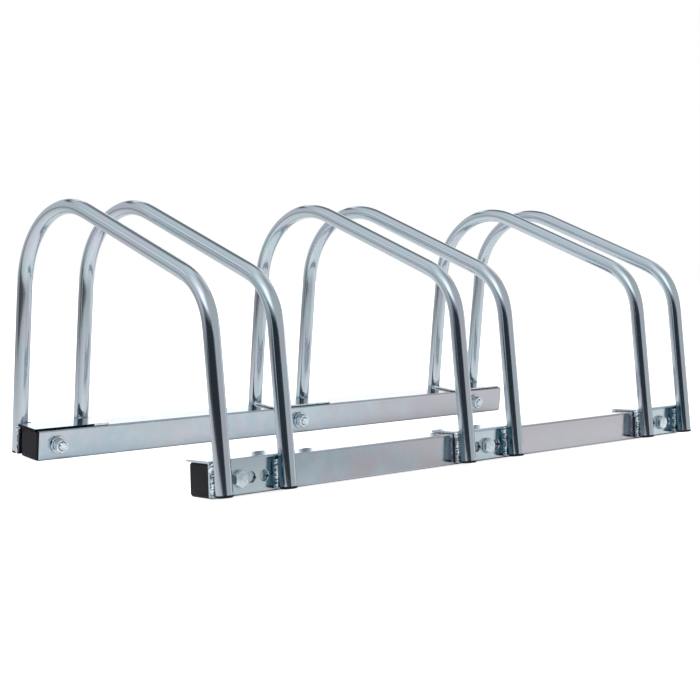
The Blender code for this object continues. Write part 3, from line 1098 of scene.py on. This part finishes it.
@dataclass(frozen=True)
class RailCap(Part):
    """A black plastic cap: a head with a rounded rim over the rail's end and a hollow insert inside the rail."""

    unit: RailUnit
    end: str
    side: int
    head_side: float = 0.0287
    rim: float = 0.0016
    corner: float = 0.0026

    def build(self) -> None:
        """Build the cap pointing along +X and mirror it for the left end."""
        head_back = SIZES.half_length + SIZES.seat_gap
        bm = new_bar(SIZES.cap_head, self.head_side, self.corner)
        bmesh.ops.translate(bm, vec=(head_back + SIZES.cap_head / 2, 0, 0), verts=bm.verts)
        front = max(bm.faces, key=lambda face: face.calc_center_median().x)
        round_edges(bm, list(front.edges), self.rim, 5)
        self._add_insert(bm)
        bmesh.ops.scale(bm, vec=(self.side, 1, 1), verts=bm.verts)
        bmesh.ops.transform(bm, matrix=self.unit.matrix, verts=bm.verts)
        node = f"{self.unit.name}_rail_cap_{self.end}"
        self.shop.report(self.shop.piece(f"{node}_moulding", bm, BLACK_PLASTIC, node), node)

    def _add_insert(self, bm: BMesh) -> None:
        """Inset the head's back, draw the insert out of it and hollow it.

        Args:
            bm: The cap's mesh.
        """
        back = min(bm.faces, key=lambda face: face.calc_center_median().x)
        insert_side = SIZES.rail_side - 2 * (SIZES.rail_wall + SIZES.seat_gap)
        walls = ((self.head_side - insert_side) / 2, SIZES.insert_wall)
        for wall, distance in zip(walls, (-SIZES.cap_insert, SIZES.cap_insert)):
            bmesh.ops.inset_region(bm, faces=[back], thickness=wall, depth=0)
            back = bmesh.ops.extrude_discrete_faces(bm, faces=[back])["faces"][0]
            bmesh.ops.translate(bm, vec=(distance, 0, 0), verts=back.verts[:])


@dataclass(frozen=True)
class Bracket(Part):
    """An L-shaped sheet bracket over the rail's outer top edge, with three holes in a row."""

    unit: RailUnit
    pair: PairName
    bend_steps: int = 8
    edge: float = 0.25 * MILLIMETRE

    def build(self) -> None:
        """Build the sheet, drill it and soften its edges."""
        centre = SIZES.pair_centre(self.pair)
        bm = bmesh.new()
        face = bm.faces.new([bm.verts.new((-SIZES.half_bracket, y, z)) for y, z in self._section()])
        grown = bmesh.ops.extrude_face_region(bm, geom=[face], use_keep_orig=True)["geom"]
        bmesh.ops.translate(bm, vec=(2 * SIZES.half_bracket, 0, 0), verts=pick(grown, BMVert))
        bmesh.ops.transform(bm, matrix=self.unit.matrix @ Matrix.Translation((centre, 0, 0)), verts=bm.verts)
        node = f"{self.unit.name}_bracket_{self.pair.value}"
        sheet = self.shop.piece(f"{node}_sheet", bm, SHEET_ZINC, node)
        places = [centre + self.unit.hole_row + step * SIZES.hole_pitch for step in (-1, 0, 1)]
        cut_holes(sheet, SHEET_ZINC, places, SIZES.hole_radius, self.unit.matrix)
        # A second material paints shade on the sheet's edges.
        sheet.data.materials.append(self.shop.materials[SHADED_EDGE.name])
        self._mark_shaded_edges(sheet)
        soften(sheet, self.edge)
        self.shop.report(sheet, node)

    def _mark_shaded_edges(self, sheet: Object) -> None:
        """Give the painted-shade finish to the flange's free edge and the left end of all but the front left bracket.

        Args:
            sheet: The bracket.
        """
        back = self.unit.matrix.inverted()
        unshaded_end = self.unit is FRONT and self.pair is PairName.LEFT
        for face in sheet.data.polygons:
            normal = back.to_3x3() @ face.normal
            left = normal.x < -ALIGNED and not unshaded_end
            free = self.unit.side * normal.y < -ALIGNED
            if left or (free and self.unit.side * (back @ face.center).y < -0.9 * SIZES.half_side):
                face.material_index = 1

    def _section(self) -> list[Pair]:
        """Give the L's outline.

        Returns:
            Pairs of numbers across the rail and up, in the rail's frame.
        """
        bend = (SIZES.bracket_back - SIZES.sheet_bend, SIZES.bracket_face - SIZES.bend_outside)
        outline = [(SIZES.bracket_back, SIZES.bracket_bottom)]
        outline += arc(bend, SIZES.sheet_bend, 0, QUARTER, self.bend_steps)
        outline += [(-SIZES.half_side, SIZES.bracket_back), (-SIZES.half_side, SIZES.bracket_face)]
        outline += arc(bend, SIZES.bend_outside, QUARTER, 0, self.bend_steps)
        outline.append((SIZES.bracket_face, SIZES.bracket_bottom))
        return [(self.unit.side * out, up) for out, up in outline]


@dataclass(frozen=True)
class WeldBead(Part):
    """A lumpy weld bead between a leg's side and a bracket's face, made of overlapping drops.

    The spans hold the least and the most of what is drawn by chance for each drop and each ball of spatter. Shares
    are of the bead's pitch, half width or height, or of the tube's or a ball's radius.
    """

    unit: RailUnit
    loop: int
    flank: int
    seed: int
    pitch: float = 0.0056
    half_width: float = 0.0031
    height: float = 0.0022
    skin: float = 0.00035
    overhang: float = 0.0006
    end_share: float = 0.5
    end_size: float = 1.25
    tall_share: float = 0.62
    tip: float = math.radians(25)
    beside_share: float = 0.35
    under_share: float = 0.4
    least_share: float = 0.55
    raised_share: float = 0.3
    ball_share: float = 0.2
    sizes: Span = (0.78, 1.22)
    shifts: Span = (-0.0005, 0.0005)
    tallness: Span = (0.7, 1.35)
    steps: Span = (0.55, 1.05)
    balls: int = 4
    ball_places: Span = (0.0034, 0.0052)
    ball_sizes: Span = (0.0003, 0.0005)

    def build(self) -> None:
        """Build the drops and fuse them into one skin."""
        draw = random.Random(self.seed)
        bm = bmesh.new()
        low = SIZES.bracket_bottom + self.height
        high = SIZES.bracket_face - self.height
        up = low
        while up <= high:
            size = draw.uniform(*self.sizes)
            if min(up - low, high - up) < self.end_share * self.pitch:
                size *= self.end_size
            self._drop(bm, up, size, draw.uniform(*self.shifts), draw.uniform(*self.tallness))
            up += self.pitch * draw.uniform(*self.steps)
        if self.flank == inner_way(self.loop):
            for _ in range(self.balls):
                place = draw.uniform(low, high), draw.uniform(*self.ball_places)
                self._spatter(bm, *place, draw.uniform(*self.ball_sizes))
        bmesh.ops.transform(bm, matrix=self.unit.matrix, verts=bm.verts)
        flank = "left" if self.flank < 0 else "right"
        bead = self.shop.piece(f"{self.unit.name}_weld_{self.loop}_{flank}", bm, WELD_ZINC)
        add_modifier(bead, "one_skin", "REMESH", mode="VOXEL", voxel_size=self.skin, use_smooth_shade=True)
        add_modifier(bead, "even_skin", "SMOOTH", factor=0.5, iterations=9)
        settle(bead, WELD_ZINC)
        self.shop.report(bead)

    def _centre(self, up: float) -> Vector:
        """Give the bead's middle.

        Args:
            up: The height on the bracket.

        Returns:
            The point, in the rail's frame.
        """
        seat_out, seat_up = self.unit.seat
        gap = seat_out + (seat_up - up) * math.tan(self.unit.lean - self.unit.tilt) - SIZES.bracket_face
        reach = SIZES.tube_radius + self.beside_share * self.half_width
        rise = gap - self.under_share * self.height
        side = math.sqrt(max(reach * reach - rise * rise, (self.least_share * SIZES.tube_radius) ** 2))
        x = SIZES.loop_places()[self.loop - 1] + self.flank * side
        return Vector((x, self.unit.side * (SIZES.bracket_face + self.raised_share * self.height), up))

    def _drop(self, bm: BMesh, up: float, size: float, shift: float, tallness: float) -> None:
        """Add one drop of the bead, no taller than the room on the bracket.

        Args:
            bm: The bead's mesh.
            up: The drop's height on the bracket.
            size: How large it is, about 1.
            shift: How far it is moved sideways.
            tallness: How tall it is for its width, about 1.
        """
        middle = self._centre(up) + Vector((shift, 0, 0))
        room = min(up - SIZES.bracket_bottom, SIZES.bracket_face - up) + self.overhang
        tall = min(self.tall_share * self.pitch * size * tallness, room)
        scale = Matrix.Diagonal((self.half_width * size, self.height * size, tall, 1.0))
        tip = Matrix.Rotation(self.tip, 4, "X")
        bmesh.ops.create_icosphere(bm, subdivisions=3, radius=1.0, matrix=Matrix.Translation(middle) @ tip @ scale)

    def _spatter(self, bm: BMesh, up: float, away: float, radius: float) -> None:
        """Add one small ball of spatter beside the bead.

        Args:
            bm: The bead's mesh.
            up: The ball's height on the bracket.
            away: How far it is from the bead's middle.
            radius: Its radius.
        """
        middle = self._centre(up)
        middle.x += self.flank * away
        middle.y = self.unit.side * (SIZES.bracket_face + self.ball_share * radius)
        bmesh.ops.create_icosphere(bm, subdivisions=2, radius=radius, matrix=Matrix.Translation(middle))


@dataclass(frozen=True)
class BoltSet(Part):
    """A hexagon bolt with the washer and the nut on the rail's inner face."""

    unit: RailUnit
    pair: PairName
    thread_pitch: float = 0.00125
    thread_depth: float = 0.0006
    thread_length: float = 0.014
    tip: float = 0.0007
    chamfer: float = math.radians(24)
    corner_share: float = 1.03
    head_crown: float = 0.93
    nut_crown: float = 0.95
    nut_edge: float = 0.0005
    washer_edge: float = 0.0003
    softness: float = 0.12 * MILLIMETRE

    def build(self) -> None:
        """Build the bolt, the washer and the nut."""
        side = self.unit.side
        head_back = side * (SIZES.bracket_face + SIZES.seat_gap)
        washer_back = -side * (SIZES.half_side + SIZES.seat_gap)
        nut_back = washer_back - side * (SIZES.washer_thickness + SIZES.seat_gap)
        self._finish("bolt", self._bolt(), head_back, -side)
        self._finish("washer", self._washer(), washer_back, side, soft=False)
        self._finish("nut", self._nut(), nut_back, side)

    def _finish(self, kind: str, bm: BMesh, y: float, turn: int, soft: bool = True) -> None:
        """Put one part of the set in its place.

        Args:
            kind: The part's name.
            bm: Its mesh about Z.
            y: Its place across the rail.
            turn: The quarter turns about X that point its Z outwards.
            soft: Whether its edges are rounded a little.
        """
        place = Matrix.Translation((self.unit.bolt_place(self.pair), y, 0)) @ Matrix.Rotation(turn * QUARTER, 4, "X")
        bmesh.ops.transform(bm, matrix=self.unit.matrix @ place, verts=bm.verts)
        node = f"{self.unit.name}_{kind}_{self.pair.value}"
        item = self.shop.piece(f"{node}_turned", bm, FASTENER_ZINC, node)
        if soft:
            soften(item, self.softness, FASTENER_ZINC.sharp)
        self.shop.report(item, node)

    def _thread(self, start: float, end: float) -> list[Pair]:
        """Give the thread's zigzag between two heights, outside first.

        Args:
            start: The height where it starts.
            end: The height where it ends.

        Returns:
            Pairs of radius and height.
        """
        outer, inner = SIZES.thread_radius, SIZES.thread_radius - self.thread_depth
        turns = max(1, int(abs(end - start) / self.thread_pitch))
        step = (end - start) / turns
        zigzag = ((outer, 0.10), (inner, 0.5), (outer, 0.90))
        return [(radius, start + (i + share) * step) for i in range(turns) for radius, share in zigzag]

    def _chamfered(self, crown_share: float) -> tuple[float, float, float]:
        """Size the cone that takes the sharp corners off a hexagon.

        Args:
            crown_share: The flat round inside the cone as a share of the distance across flats.

        Returns:
            The radius of that round, the radius of the blank and the cone's height.
        """
        crown = crown_share * SIZES.across_flats / 2
        corner = self.corner_share * SIZES.across_flats / math.sqrt(3)
        return crown, corner, (corner - crown) * math.tan(self.chamfer)

    def _bolt(self) -> BMesh:
        """Turn the bolt's head and shank, then mill the head's flats.

        Returns:
            The bolt's mesh.
        """
        top, radius = SIZES.head_height, SIZES.thread_radius
        clamped = SIZES.bracket_face + SIZES.half_side + SIZES.washer_thickness + SIZES.nut_height
        length = clamped + 3 * SIZES.seat_gap + SIZES.thread_overhang
        crown, corner, drop = self._chamfered(self.head_crown)
        profile = [(0.0, top), (crown, top), (corner, top - drop), (corner, 0.0)]
        profile += [(radius, 0.0), (radius, self.thread_length - length)]
        profile += self._thread(self.thread_length - length, self.tip - length)
        profile += [(radius - self.tip, -length), (0.0, -length)]
        bm = turn_profile(profile)
        mill_hexagon(bm)
        return bm

    def _washer(self) -> BMesh:
        """Turn the washer, with slightly rounded outer edges.

        Returns:
            The washer's mesh.
        """
        bore, radius, top, edge = SIZES.bore, SIZES.washer_radius, SIZES.washer_thickness, self.washer_edge
        outline = [(bore, 0.0), (radius - edge, 0.0), (radius, edge), (radius, top - edge)]
        outline += [(radius - edge, top), (bore, top)]
        return turn_profile(outline, closed=True)

    def _nut(self) -> BMesh:
        """Turn the nut, then mill its flats.

        Returns:
            The nut's mesh.
        """
        bore, top, edge = SIZES.bore, SIZES.nut_height, self.nut_edge
        crown, corner, drop = self._chamfered(self.nut_crown)
        outline = [(bore, 0.0), (crown, 0.0), (corner, drop), (corner, top - drop), (crown, top)]
        bm = turn_profile([*outline, (bore + edge, top), (bore, top - edge)], closed=True)
        mill_hexagon(bm)
        return bm


def outward(heading: float) -> Vector:
    """Give the direction away from a bend's centre where the centre line has this heading."""
    return Vector((0, math.cos(heading), math.sin(heading)))


@dataclass(frozen=True)
class Stretch:
    """A straight part of a loop's centre line, in the loop's own plane."""

    start: Vector
    heading: float
    length: float
    begin: float

    @property
    def direction(self) -> Vector:
        """The direction that the centre line runs in."""
        return Vector((0, -math.sin(self.heading), math.cos(self.heading)))

    def locate(self, point: Vector) -> tuple[float, float, float] | None:
        """Say where a point is beside this part.

        Args:
            point: The point.

        Returns:
            Its distance along the loop, its distance outwards and its share of the bend, or None beyond the ends.
        """
        run = (point - self.start).dot(self.direction)
        if not -TOLERANCE <= run <= self.length + TOLERANCE:
            return None
        return self.begin + run, (point - self.start).dot(outward(self.heading)), 0.0

    def place(self, along: float, out: float) -> Vector:
        """Give the point at a distance along the loop and outwards."""
        return self.start + self.direction * (along - self.begin) + outward(self.heading) * out


@dataclass(frozen=True)
class Bend:
    """A bent part of a loop's centre line, in the loop's own plane."""

    centre: Vector
    radius: float
    first: float
    last: float
    begin: float
    run_in: float = 0.022

    @property
    def length(self) -> float:
        """The bend's length along the centre line."""
        return (self.last - self.first) * self.radius

    def locate(self, point: Vector) -> tuple[float, float, float] | None:
        """Say where a point is beside this part.

        Args:
            point: The point.

        Returns:
            Its distance along the loop, its distance outwards and its share of the bend, or None beyond the ends.
        """
        away = point - self.centre
        heading = math.atan2(away.z, away.y)
        if not self.first - TOLERANCE <= heading <= self.last + TOLERANCE:
            return None
        run = (heading - self.first) * self.radius
        near = min(max(min(run, self.length - run) / self.run_in, 0.0), 1.0)
        return self.begin + run, math.hypot(away.y, away.z) - self.radius, near * near * (3 - 2 * near)

    def place(self, along: float, out: float) -> Vector:
        """Give the point at a distance along the loop and outwards."""
        return self.centre + outward(self.first + (along - self.begin) / self.radius) * (self.radius + out)


@dataclass(frozen=True)
class WheelLoop(Part):
    """A round tube with two legs, a high bend at the rear and a low one at the front, and a plug in each end."""

    number: int
    x: float
    radius: float = SIZES.tube_radius
    wall: float = SIZES.tube_wall
    sides: int = 56
    bend_step: float = math.radians(2.5)
    end_step: float = 0.004
    flattening: float = 0.035
    easing: float = 0.011
    plug_chamfer: float = 0.001

    def build(self) -> None:
        """Build the tube and its plugs."""
        bm = bmesh.new()
        first = self.parts[0]
        turn = Matrix.Translation(first.start) @ Matrix.Rotation(first.heading, 4, "X")
        bmesh.ops.create_circle(bm, cap_ends=False, segments=self.sides, radius=self.radius, matrix=turn)
        ring = bm.edges[:]
        for part in self.parts:
            ring = self._draw(bm, ring, part) if isinstance(part, Stretch) else self._bend(bm, ring, part)
        self._shape(bm)
        node = f"wheel_loop_{self.number}"
        tube = self.shop.piece(f"{node}_tube", bm, TUBE_ZINC, node)
        give_wall(tube, self.wall)
        settle(tube, TUBE_ZINC)
        self.shop.report(tube, node)
        self._plug(REAR, first.start)
        self._plug(FRONT, self.parts[-1].place(self.parts[-1].begin + self.parts[-1].length, 0.0))

    @cached_property
    def parts(self) -> list[Stretch | Bend]:
        """The straight and bent parts of the centre line.

        Returns:
            The parts in order, from the rear leg to the front leg.
        """
        shift = Vector((self.x, 0, 0)) - rack_middle()
        corners = [unit.leg_point(unit.corner_height) + shift for unit in (REAR, FRONT)]
        start, end = (unit.leg_point(SIZES.leg_end_height) + shift for unit in (REAR, FRONT))
        slope = corners[1] - corners[0]
        headings = (REAR.lean, math.atan2(-slope.y, slope.z), math.pi - FRONT.lean)
        parts, along = [], 0.0
        for unit, corner, before, after in zip((REAR, FRONT), corners, headings, headings[1:]):
            half = (after - before) / 2
            length = (corner - start).length - unit.bend_radius * math.tan(half)
            parts.append(Stretch(start, before, length, along))
            along += length
            centre = corner - outward(before + half) * unit.bend_radius / math.cos(half)
            parts.append(Bend(centre, unit.bend_radius, before, after, along))
            along += parts[-1].length
            start = centre + outward(after) * unit.bend_radius
        return [*parts, Stretch(start, headings[-1], (end - start).length, along)]

    def _draw(self, bm: BMesh, ring: list[BMEdge], part: Stretch) -> list[BMEdge]:
        """Draw the tube on along a straight part.

        Args:
            bm: The tube's mesh.
            ring: The edges of its open end.
            part: The straight part.

        Returns:
            The edges of the new open end.
        """
        steps = [self.end_step] * 4
        for step in (*steps, part.length - 2 * sum(steps), *steps):
            grown = bmesh.ops.extrude_edge_only(bm, edges=ring)["geom"]
            fresh = pick(grown, BMVert)
            bmesh.ops.translate(bm, vec=part.direction * step, verts=fresh)
            ring = [edge for edge in pick(grown, BMEdge) if all(vert in fresh for vert in edge.verts)]
        return ring

    def _bend(self, bm: BMesh, ring: list[BMEdge], part: Bend) -> list[BMEdge]:
        """Bend the tube on round a bend's centre.

        Args:
            bm: The tube's mesh.
            ring: The edges of its open end.
            part: The bend.

        Returns:
            The edges of the new open end.
        """
        turn = part.last - part.first
        geom = [*dict.fromkeys(vert for edge in ring for vert in edge.verts), *ring]
        steps = math.ceil(turn / self.bend_step)
        spun = bmesh.ops.spin(bm, geom=geom, cent=part.centre, axis=(1, 0, 0), angle=turn, steps=steps)
        return pick(spun["geom_last"], BMEdge)

    def _shape(self, bm: BMesh) -> None:
        """Flatten the tube a little in its bends, and note each point's place on the straight tube.

        Args:
            bm: The tube's mesh.
        """
        straight = bm.verts.layers.float_vector.new(Place.STRAIGHTENED_TUBE.value)
        middle = self.parts[0].start.x
        for vert in bm.verts:
            flat = Vector((middle, vert.co.y, vert.co.z))
            spots = [spot for part in self.parts if (spot := part.locate(flat))]
            along, out, share = min(spots, key=lambda spot: abs(spot[1]))
            across = vert.co.x - middle
            vert[straight] = Vector((across * inner_way(self.number), out, along + self.number))
            vert.co = self._eased_place(along, out * (1 - self.flattening * share))
            vert.co.x = middle + across * (1 + 0.5 * self.flattening * share)

    def _eased_place(self, along: float, out: float) -> Vector:
        """Give a point beside the centre line, whose bends start and end gently.

        Args:
            along: The distance along the loop.
            out: The distance outwards.

        Returns:
            The point.
        """
        centre, side = Vector(), Vector()
        for share, weight in zip((-1.0, -0.5, 0.0, 0.5, 1.0), (1, 2, 3, 2, 1)):
            spot = along + share * self.easing
            part = next((part for part in self.parts if spot <= part.begin + part.length), self.parts[-1])
            point = part.place(spot, 0.0)
            centre += point * weight / 9
            side += (part.place(spot, 1.0) - point) * weight
        return centre + side.normalized() * out

    def _plug(self, unit: RailUnit, end: Vector) -> None:
        """Build the plug in one end: a chamfered head under the leg and a hollow insert in the tube.

        Args:
            unit: The rail that the leg stands at.
            end: The middle of the leg's end.
        """
        top, chamfer, depth = -SIZES.seat_gap, self.plug_chamfer, SIZES.plug_insert
        bottom = top - SIZES.plug_head
        insert = self.radius - self.wall - SIZES.seat_gap
        hollow = insert - SIZES.insert_wall
        profile = [(0.0, bottom), *arc((self.radius - chamfer, chamfer + bottom), chamfer, -QUARTER, 0, 4)]
        profile += [(self.radius, top), (insert, top), (insert, depth), (hollow, depth), (hollow, top), (0.0, top)]
        bm = turn_profile(profile)
        turn = Matrix.Rotation(unit.side * unit.lean, 4, "X")
        bmesh.ops.transform(bm, matrix=Matrix.Translation(end) @ turn, verts=bm.verts)
        node = f"loop_{self.number}_{unit.name}_plug"
        self.shop.report(self.shop.piece(f"{node}_moulding", bm, BLACK_PLASTIC, node), node)


@dataclass(frozen=True)
class StudioPatch:
    """A soft-edged patch of the studio's wall, with its place in degrees.

    The middle's direction is 0 behind the rack and 90 to its right. A dip lowers the top edge away from the middle.
    """

    INPUTS: ClassVar[tuple[str, ...]] = ("Middle", "Half Width", "Low", "High", "Side Blur", "Edge Blur", "Dip")

    name: str
    colour: Colour
    middle: float
    half_width: float
    low: float
    high: float
    side_blur: float
    edge_blur: float
    dip: float = 0.0

    @property
    def angles(self) -> dict[str, float]:
        """The angles in radians, by the names of the group's inputs."""
        return dict(zip(self.INPUTS, map(math.radians, astuple(self)[2:])))


@dataclass(frozen=True)
class FloorFinish:
    """A pale floor, white to the camera, that keeps the rack's shadow.

    Mirrors see a painted pool of light on it, duller away from the rack's footprint and most of all towards the front
    left, painted shade at grazing angles, and nearly black painted shade in one stretch out there.
    """

    name: str = "pale_floor"
    footprint: Point = (0.34, 0.17, 0.0)
    near: float = 0.97
    reach: float = 1.3
    falloff: float = 0.6
    dim_way: Point = (-0.94, -0.34, 0.0)
    dim_edges: Change = (-0.75, 0.1, 0.9, 0.36)
    dark_centre: Point = (-0.33, 0.15, 0.0)
    dark_start: Span = (0.76, 0.90)
    dark_way: Point = (-0.906, -0.423, 0.0)
    dark_side: Span = (0.52, 0.72)
    dark: float = 0.09
    grazing_shade_way: Point = (-0.766, -0.643, 0.0)
    grazing_shade_edges: Change = (0.1, 0.7, 1.0, 0.72)
    slanting: Span = (0.96, 0.62)
    lift: float = 0.85

    def make(self) -> Material:
        """Make the material.

        Returns:
            The finished material.
        """
        material, sheet = new_material(self.name)
        place = sheet.place()
        # Painted shade that only mirrors see: a nearly black stretch towards the front left.
        across = sheet.vector("SUBTRACT", place, self.dark_centre)
        dark = sheet.spread(sheet.vector("LENGTH", across), *self.dark_start)
        dark = sheet.product(dark, sheet.spread(sheet.toward(across, self.dark_way), *self.dark_side))
        # The painted pool of light, with the painted dark stretch laid over it.
        shade = sheet.ramp(dark, 0.0, 1.0, self._painted_light_pool(sheet, place), self.dark)
        # Painted shade where mirrors see the floor at a grazing angle, most towards the front left.
        dull = sheet.spread(sheet.toward(place, self.grazing_shade_way), *self.grazing_shade_edges)
        facing = sheet.add("LayerWeight", {"Blend": 0.5})["Facing"]
        shade = sheet.product(shade, sheet.spread(facing, *self.slanting, dull, 1.0))
        seen = sheet.product(sheet.add("LightPath")["Is Camera Ray"], sheet.ramp(dark, 0.0, 1.0, self.lift, 1.0))
        matte = sheet.add("BsdfDiffuse", {"Color": shade})[0]
        white = sheet.add("Emission", {"Color": WHITE, "Strength": seen})[0]
        sheet.show(sheet.add("AddShader", {0: matte, 1: white})[0])
        return material

    def _painted_light_pool(self, sheet: NodeSheet, place: NodeSocket) -> NodeSocket:
        """Paint a pool of light on the floor, whose grey darkens with the distance from the rack's footprint.

        Args:
            sheet: The material's nodes.
            place: The point on the floor.

        Returns:
            The floor's grey.
        """
        beyond = sheet.vector("SUBTRACT", sheet.vector("ABSOLUTE", place), self.footprint)
        beyond = sheet.vector("LENGTH", sheet.vector("MAXIMUM", beyond, ORIGIN))
        far = sheet.math("POWER", sheet.ramp(beyond, 0.0, self.reach), self.falloff)
        return sheet.ramp(far, 0.0, 1.0, self.near, sheet.spread(sheet.toward(place, self.dim_way), *self.dim_edges))


@dataclass(frozen=True)
class Studio:
    """A pale floor, soft light all round and the walls that the bright metal mirrors."""

    floor_radius: float = 5.0
    shell_radius: float = 5.05
    wall: Colour = (0.62, 0.64, 0.66)
    ceiling: Colour = (0.80, 0.82, 0.84)
    ceiling_edges: Span = (math.radians(20), math.radians(80))
    air: float = 0.86
    lamp_power: float = 26.0
    lamp_size: Pair = (1.8, 1.2)
    lamp_place: Point = (-2.0, -0.8, 1.9)
    patches: tuple[StudioPatch, ...] = (
        StudioPatch("right wall", (0.55, 0.55, 0.56), 140.0, 75.0, -10.0, 95.0, 30.0, 12.0),
        StudioPatch("dim right ceiling", (0.42, 0.43, 0.45), 140.0, 24.0, 55.0, 84.0, 12.0, 8.0),
        StudioPatch("dim upper rear", (0.30, 0.31, 0.33), 34.0, 30.0, 34.0, 64.0, 10.0, 6.0),
        StudioPatch("dark line at the rear", (0.14, 0.15, 0.17), -2.0, 22.0, 34.0, 40.5, 8.0, 2.0),
        StudioPatch("dark upper rear", (0.16, 0.17, 0.18), 45.0, 16.0, 38.0, 56.0, 8.0, 5.0),
        StudioPatch("rear streak", (1.70, 1.74, 1.80), 20.0, 9.0, 36.0, 41.5, 3.0, 1.5),
        StudioPatch("side streak", (1.00, 1.02, 1.05), 80.0, 12.0, 37.0, 48.0, 4.0, 3.0),
        StudioPatch("white backdrop", (1.45, 1.45, 1.47), 53.0, 48.0, -12.0, 12.0, 9.0, 3.0),
        StudioPatch("upper backdrop", (1.35, 1.35, 1.37), 38.0, 33.0, 8.0, 24.0, 9.0, 3.0),
        StudioPatch("bright edge", (0.98, 1.02, 1.08), -50.0, 9.0, 27.0, 35.0, 5.0, 2.5),
        StudioPatch("glow round the window", (1.00, 1.02, 1.05), -108.0, 35.0, 28.0, 66.0, 10.0, 4.0),
        StudioPatch("soft window", (1.52, 1.55, 1.58), -111.0, 18.0, 28.0, 53.0, 5.0, 3.0),
        StudioPatch("dim band", (0.18, 0.20, 0.23), -116.0, 36.0, -10.0, 23.0, 10.0, 4.0, 10.0),
        StudioPatch("half-dark wall", (0.24, 0.27, 0.30), -100.0, 36.0, -10.0, 6.0, 8.0, 4.0),
        StudioPatch("dark wall", (0.030, 0.038, 0.048), -126.0, 47.0, -10.0, 16.0, 6.0, 3.0, 24.0),
    )

    def build(self, groups: SurfaceGroups) -> None:
        """Build the whole studio.

        Args:
            groups: The shared node groups.
        """
        bm = bmesh.new()
        bmesh.ops.create_circle(bm, cap_ends=True, segments=64, radius=self.floor_radius)
        add_mesh("floor", bm, FloorFinish().make())
        self._shell(groups)
        self._world()
        self._lamp()
        LOG.info("studio: floor, wall and light")

    def _shell(self, groups: SurfaceGroups) -> None:
        """Put up the walls, which only mirrors see.

        Args:
            groups: The shared node groups.
        """
        material, sheet = new_material("studio_wall")
        material.cycles.emission_sampling = "NONE"
        parts = sheet.parts(sheet.vector("NORMALIZE", sheet.place()))
        direction, height = sheet.math("ARCTAN2", parts["X"], parts["Y"]), sheet.math("ARCSINE", parts["Z"])
        inputs = {"Direction": direction, "Height": height}
        colour = sheet.mix(sheet.spread(height, *self.ceiling_edges), self.wall, self.ceiling)
        for patch in self.patches:
            mask = sheet.add("Group", inputs | patch.angles, node_tree=groups.patch, label=patch.name)["Mask"]
            colour = sheet.mix(mask, colour, patch.colour)
        sheet.show(sheet.add("Emission", {"Color": colour})[0])
        bm = bmesh.new()
        bmesh.ops.create_uvsphere(bm, u_segments=48, v_segments=24, radius=self.shell_radius)
        shell = add_mesh("studio_wall", bm, material)
        shell.visible_camera = shell.visible_diffuse = shell.visible_shadow = shell.visible_transmission = False

    def _world(self) -> None:
        """Light everything softly from all round, with plain white behind it."""
        world = bpy.data.worlds.new("studio_air")
        bpy.context.scene.world = world
        world.use_nodes = True
        sheet = NodeSheet(world.node_tree)
        path = sheet.add("LightPath")
        seen = sheet.math("MAXIMUM", path["Is Camera Ray"], path["Is Glossy Ray"])
        seen = sheet.math("MAXIMUM", seen, path["Is Transmission Ray"])
        strength = sheet.ramp(seen, 0.0, 1.0, self.air, 1.0)
        sheet.feed(world.node_tree.nodes["Background"], {"Color": WHITE, "Strength": strength})

    def _lamp(self) -> None:
        """Hang one large soft lamp at the front left, which the walls' window stands for in mirrors."""
        lamp = bpy.data.lights.new("soft_key", "AREA")
        lamp.energy = self.lamp_power
        lamp.shape = "RECTANGLE"
        lamp.size, lamp.size_y = self.lamp_size
        item = add_object("soft_key", lamp)
        item.location = self.lamp_place
        item.rotation_euler = (-item.location).to_track_quat("-Z", "Y").to_euler()
        item.visible_glossy = False


@dataclass(frozen=True)
class PhotoCamera:
    """The camera at the photograph's viewing angle."""

    location: Point = (-1.08800, -1.13497, 0.22718)
    turn: Point = (1.480310, -0.011127, -0.752937)
    lens: float = 76.7912
    sensor: float = 36.0
    shift: Pair = (-0.016300, 0.022191)

    def build(self) -> None:
        """Put the camera in the scene."""
        data = bpy.data.cameras.new("photo_camera")
        data.sensor_width = self.sensor
        data.lens = self.lens
        data.shift_x, data.shift_y = self.shift
        item = add_object("photo_camera", data)
        item.location = self.location
        item.rotation_euler = Euler(self.turn)
        bpy.context.scene.camera = item
        bpy.context.scene.view_settings.view_transform = "Standard"
        LOG.info("camera: %.1f mm lens", self.lens)


@dataclass(frozen=True)
class RackAssembly(Part):
    """The whole rack: two rail units and six wheel loops with their welds."""

    units: tuple[RailUnit, ...] = (FRONT, REAR)

    def build(self) -> None:
        """Build every piece in order."""
        for unit in self.units:
            Rail(self.shop, unit).build()
            RailCap(self.shop, unit, "left", -1).build()
            RailCap(self.shop, unit, "right", 1).build()
            for pair in PairName:
                Bracket(self.shop, unit, pair).build()
                BoltSet(self.shop, unit, pair).build()
        for number, x in enumerate(SIZES.loop_places(), start=1):
            WheelLoop(self.shop, number, x).build()
            for index, unit in enumerate(self.units):
                for flank in (-1, 1):
                    seed = 100 * number + 10 * index + flank
                    WeldBead(self.shop, unit, number, flank, seed).build()


def main() -> None:
    """Build the camera, the rack and the studio."""
    logging.basicConfig(level=logging.INFO, format="%(message)s")
    PhotoCamera().build()
    shop = Workshop()
    RackAssembly(shop).build()
    Studio().build(shop.groups)


if __name__ == "__main__":
    main()
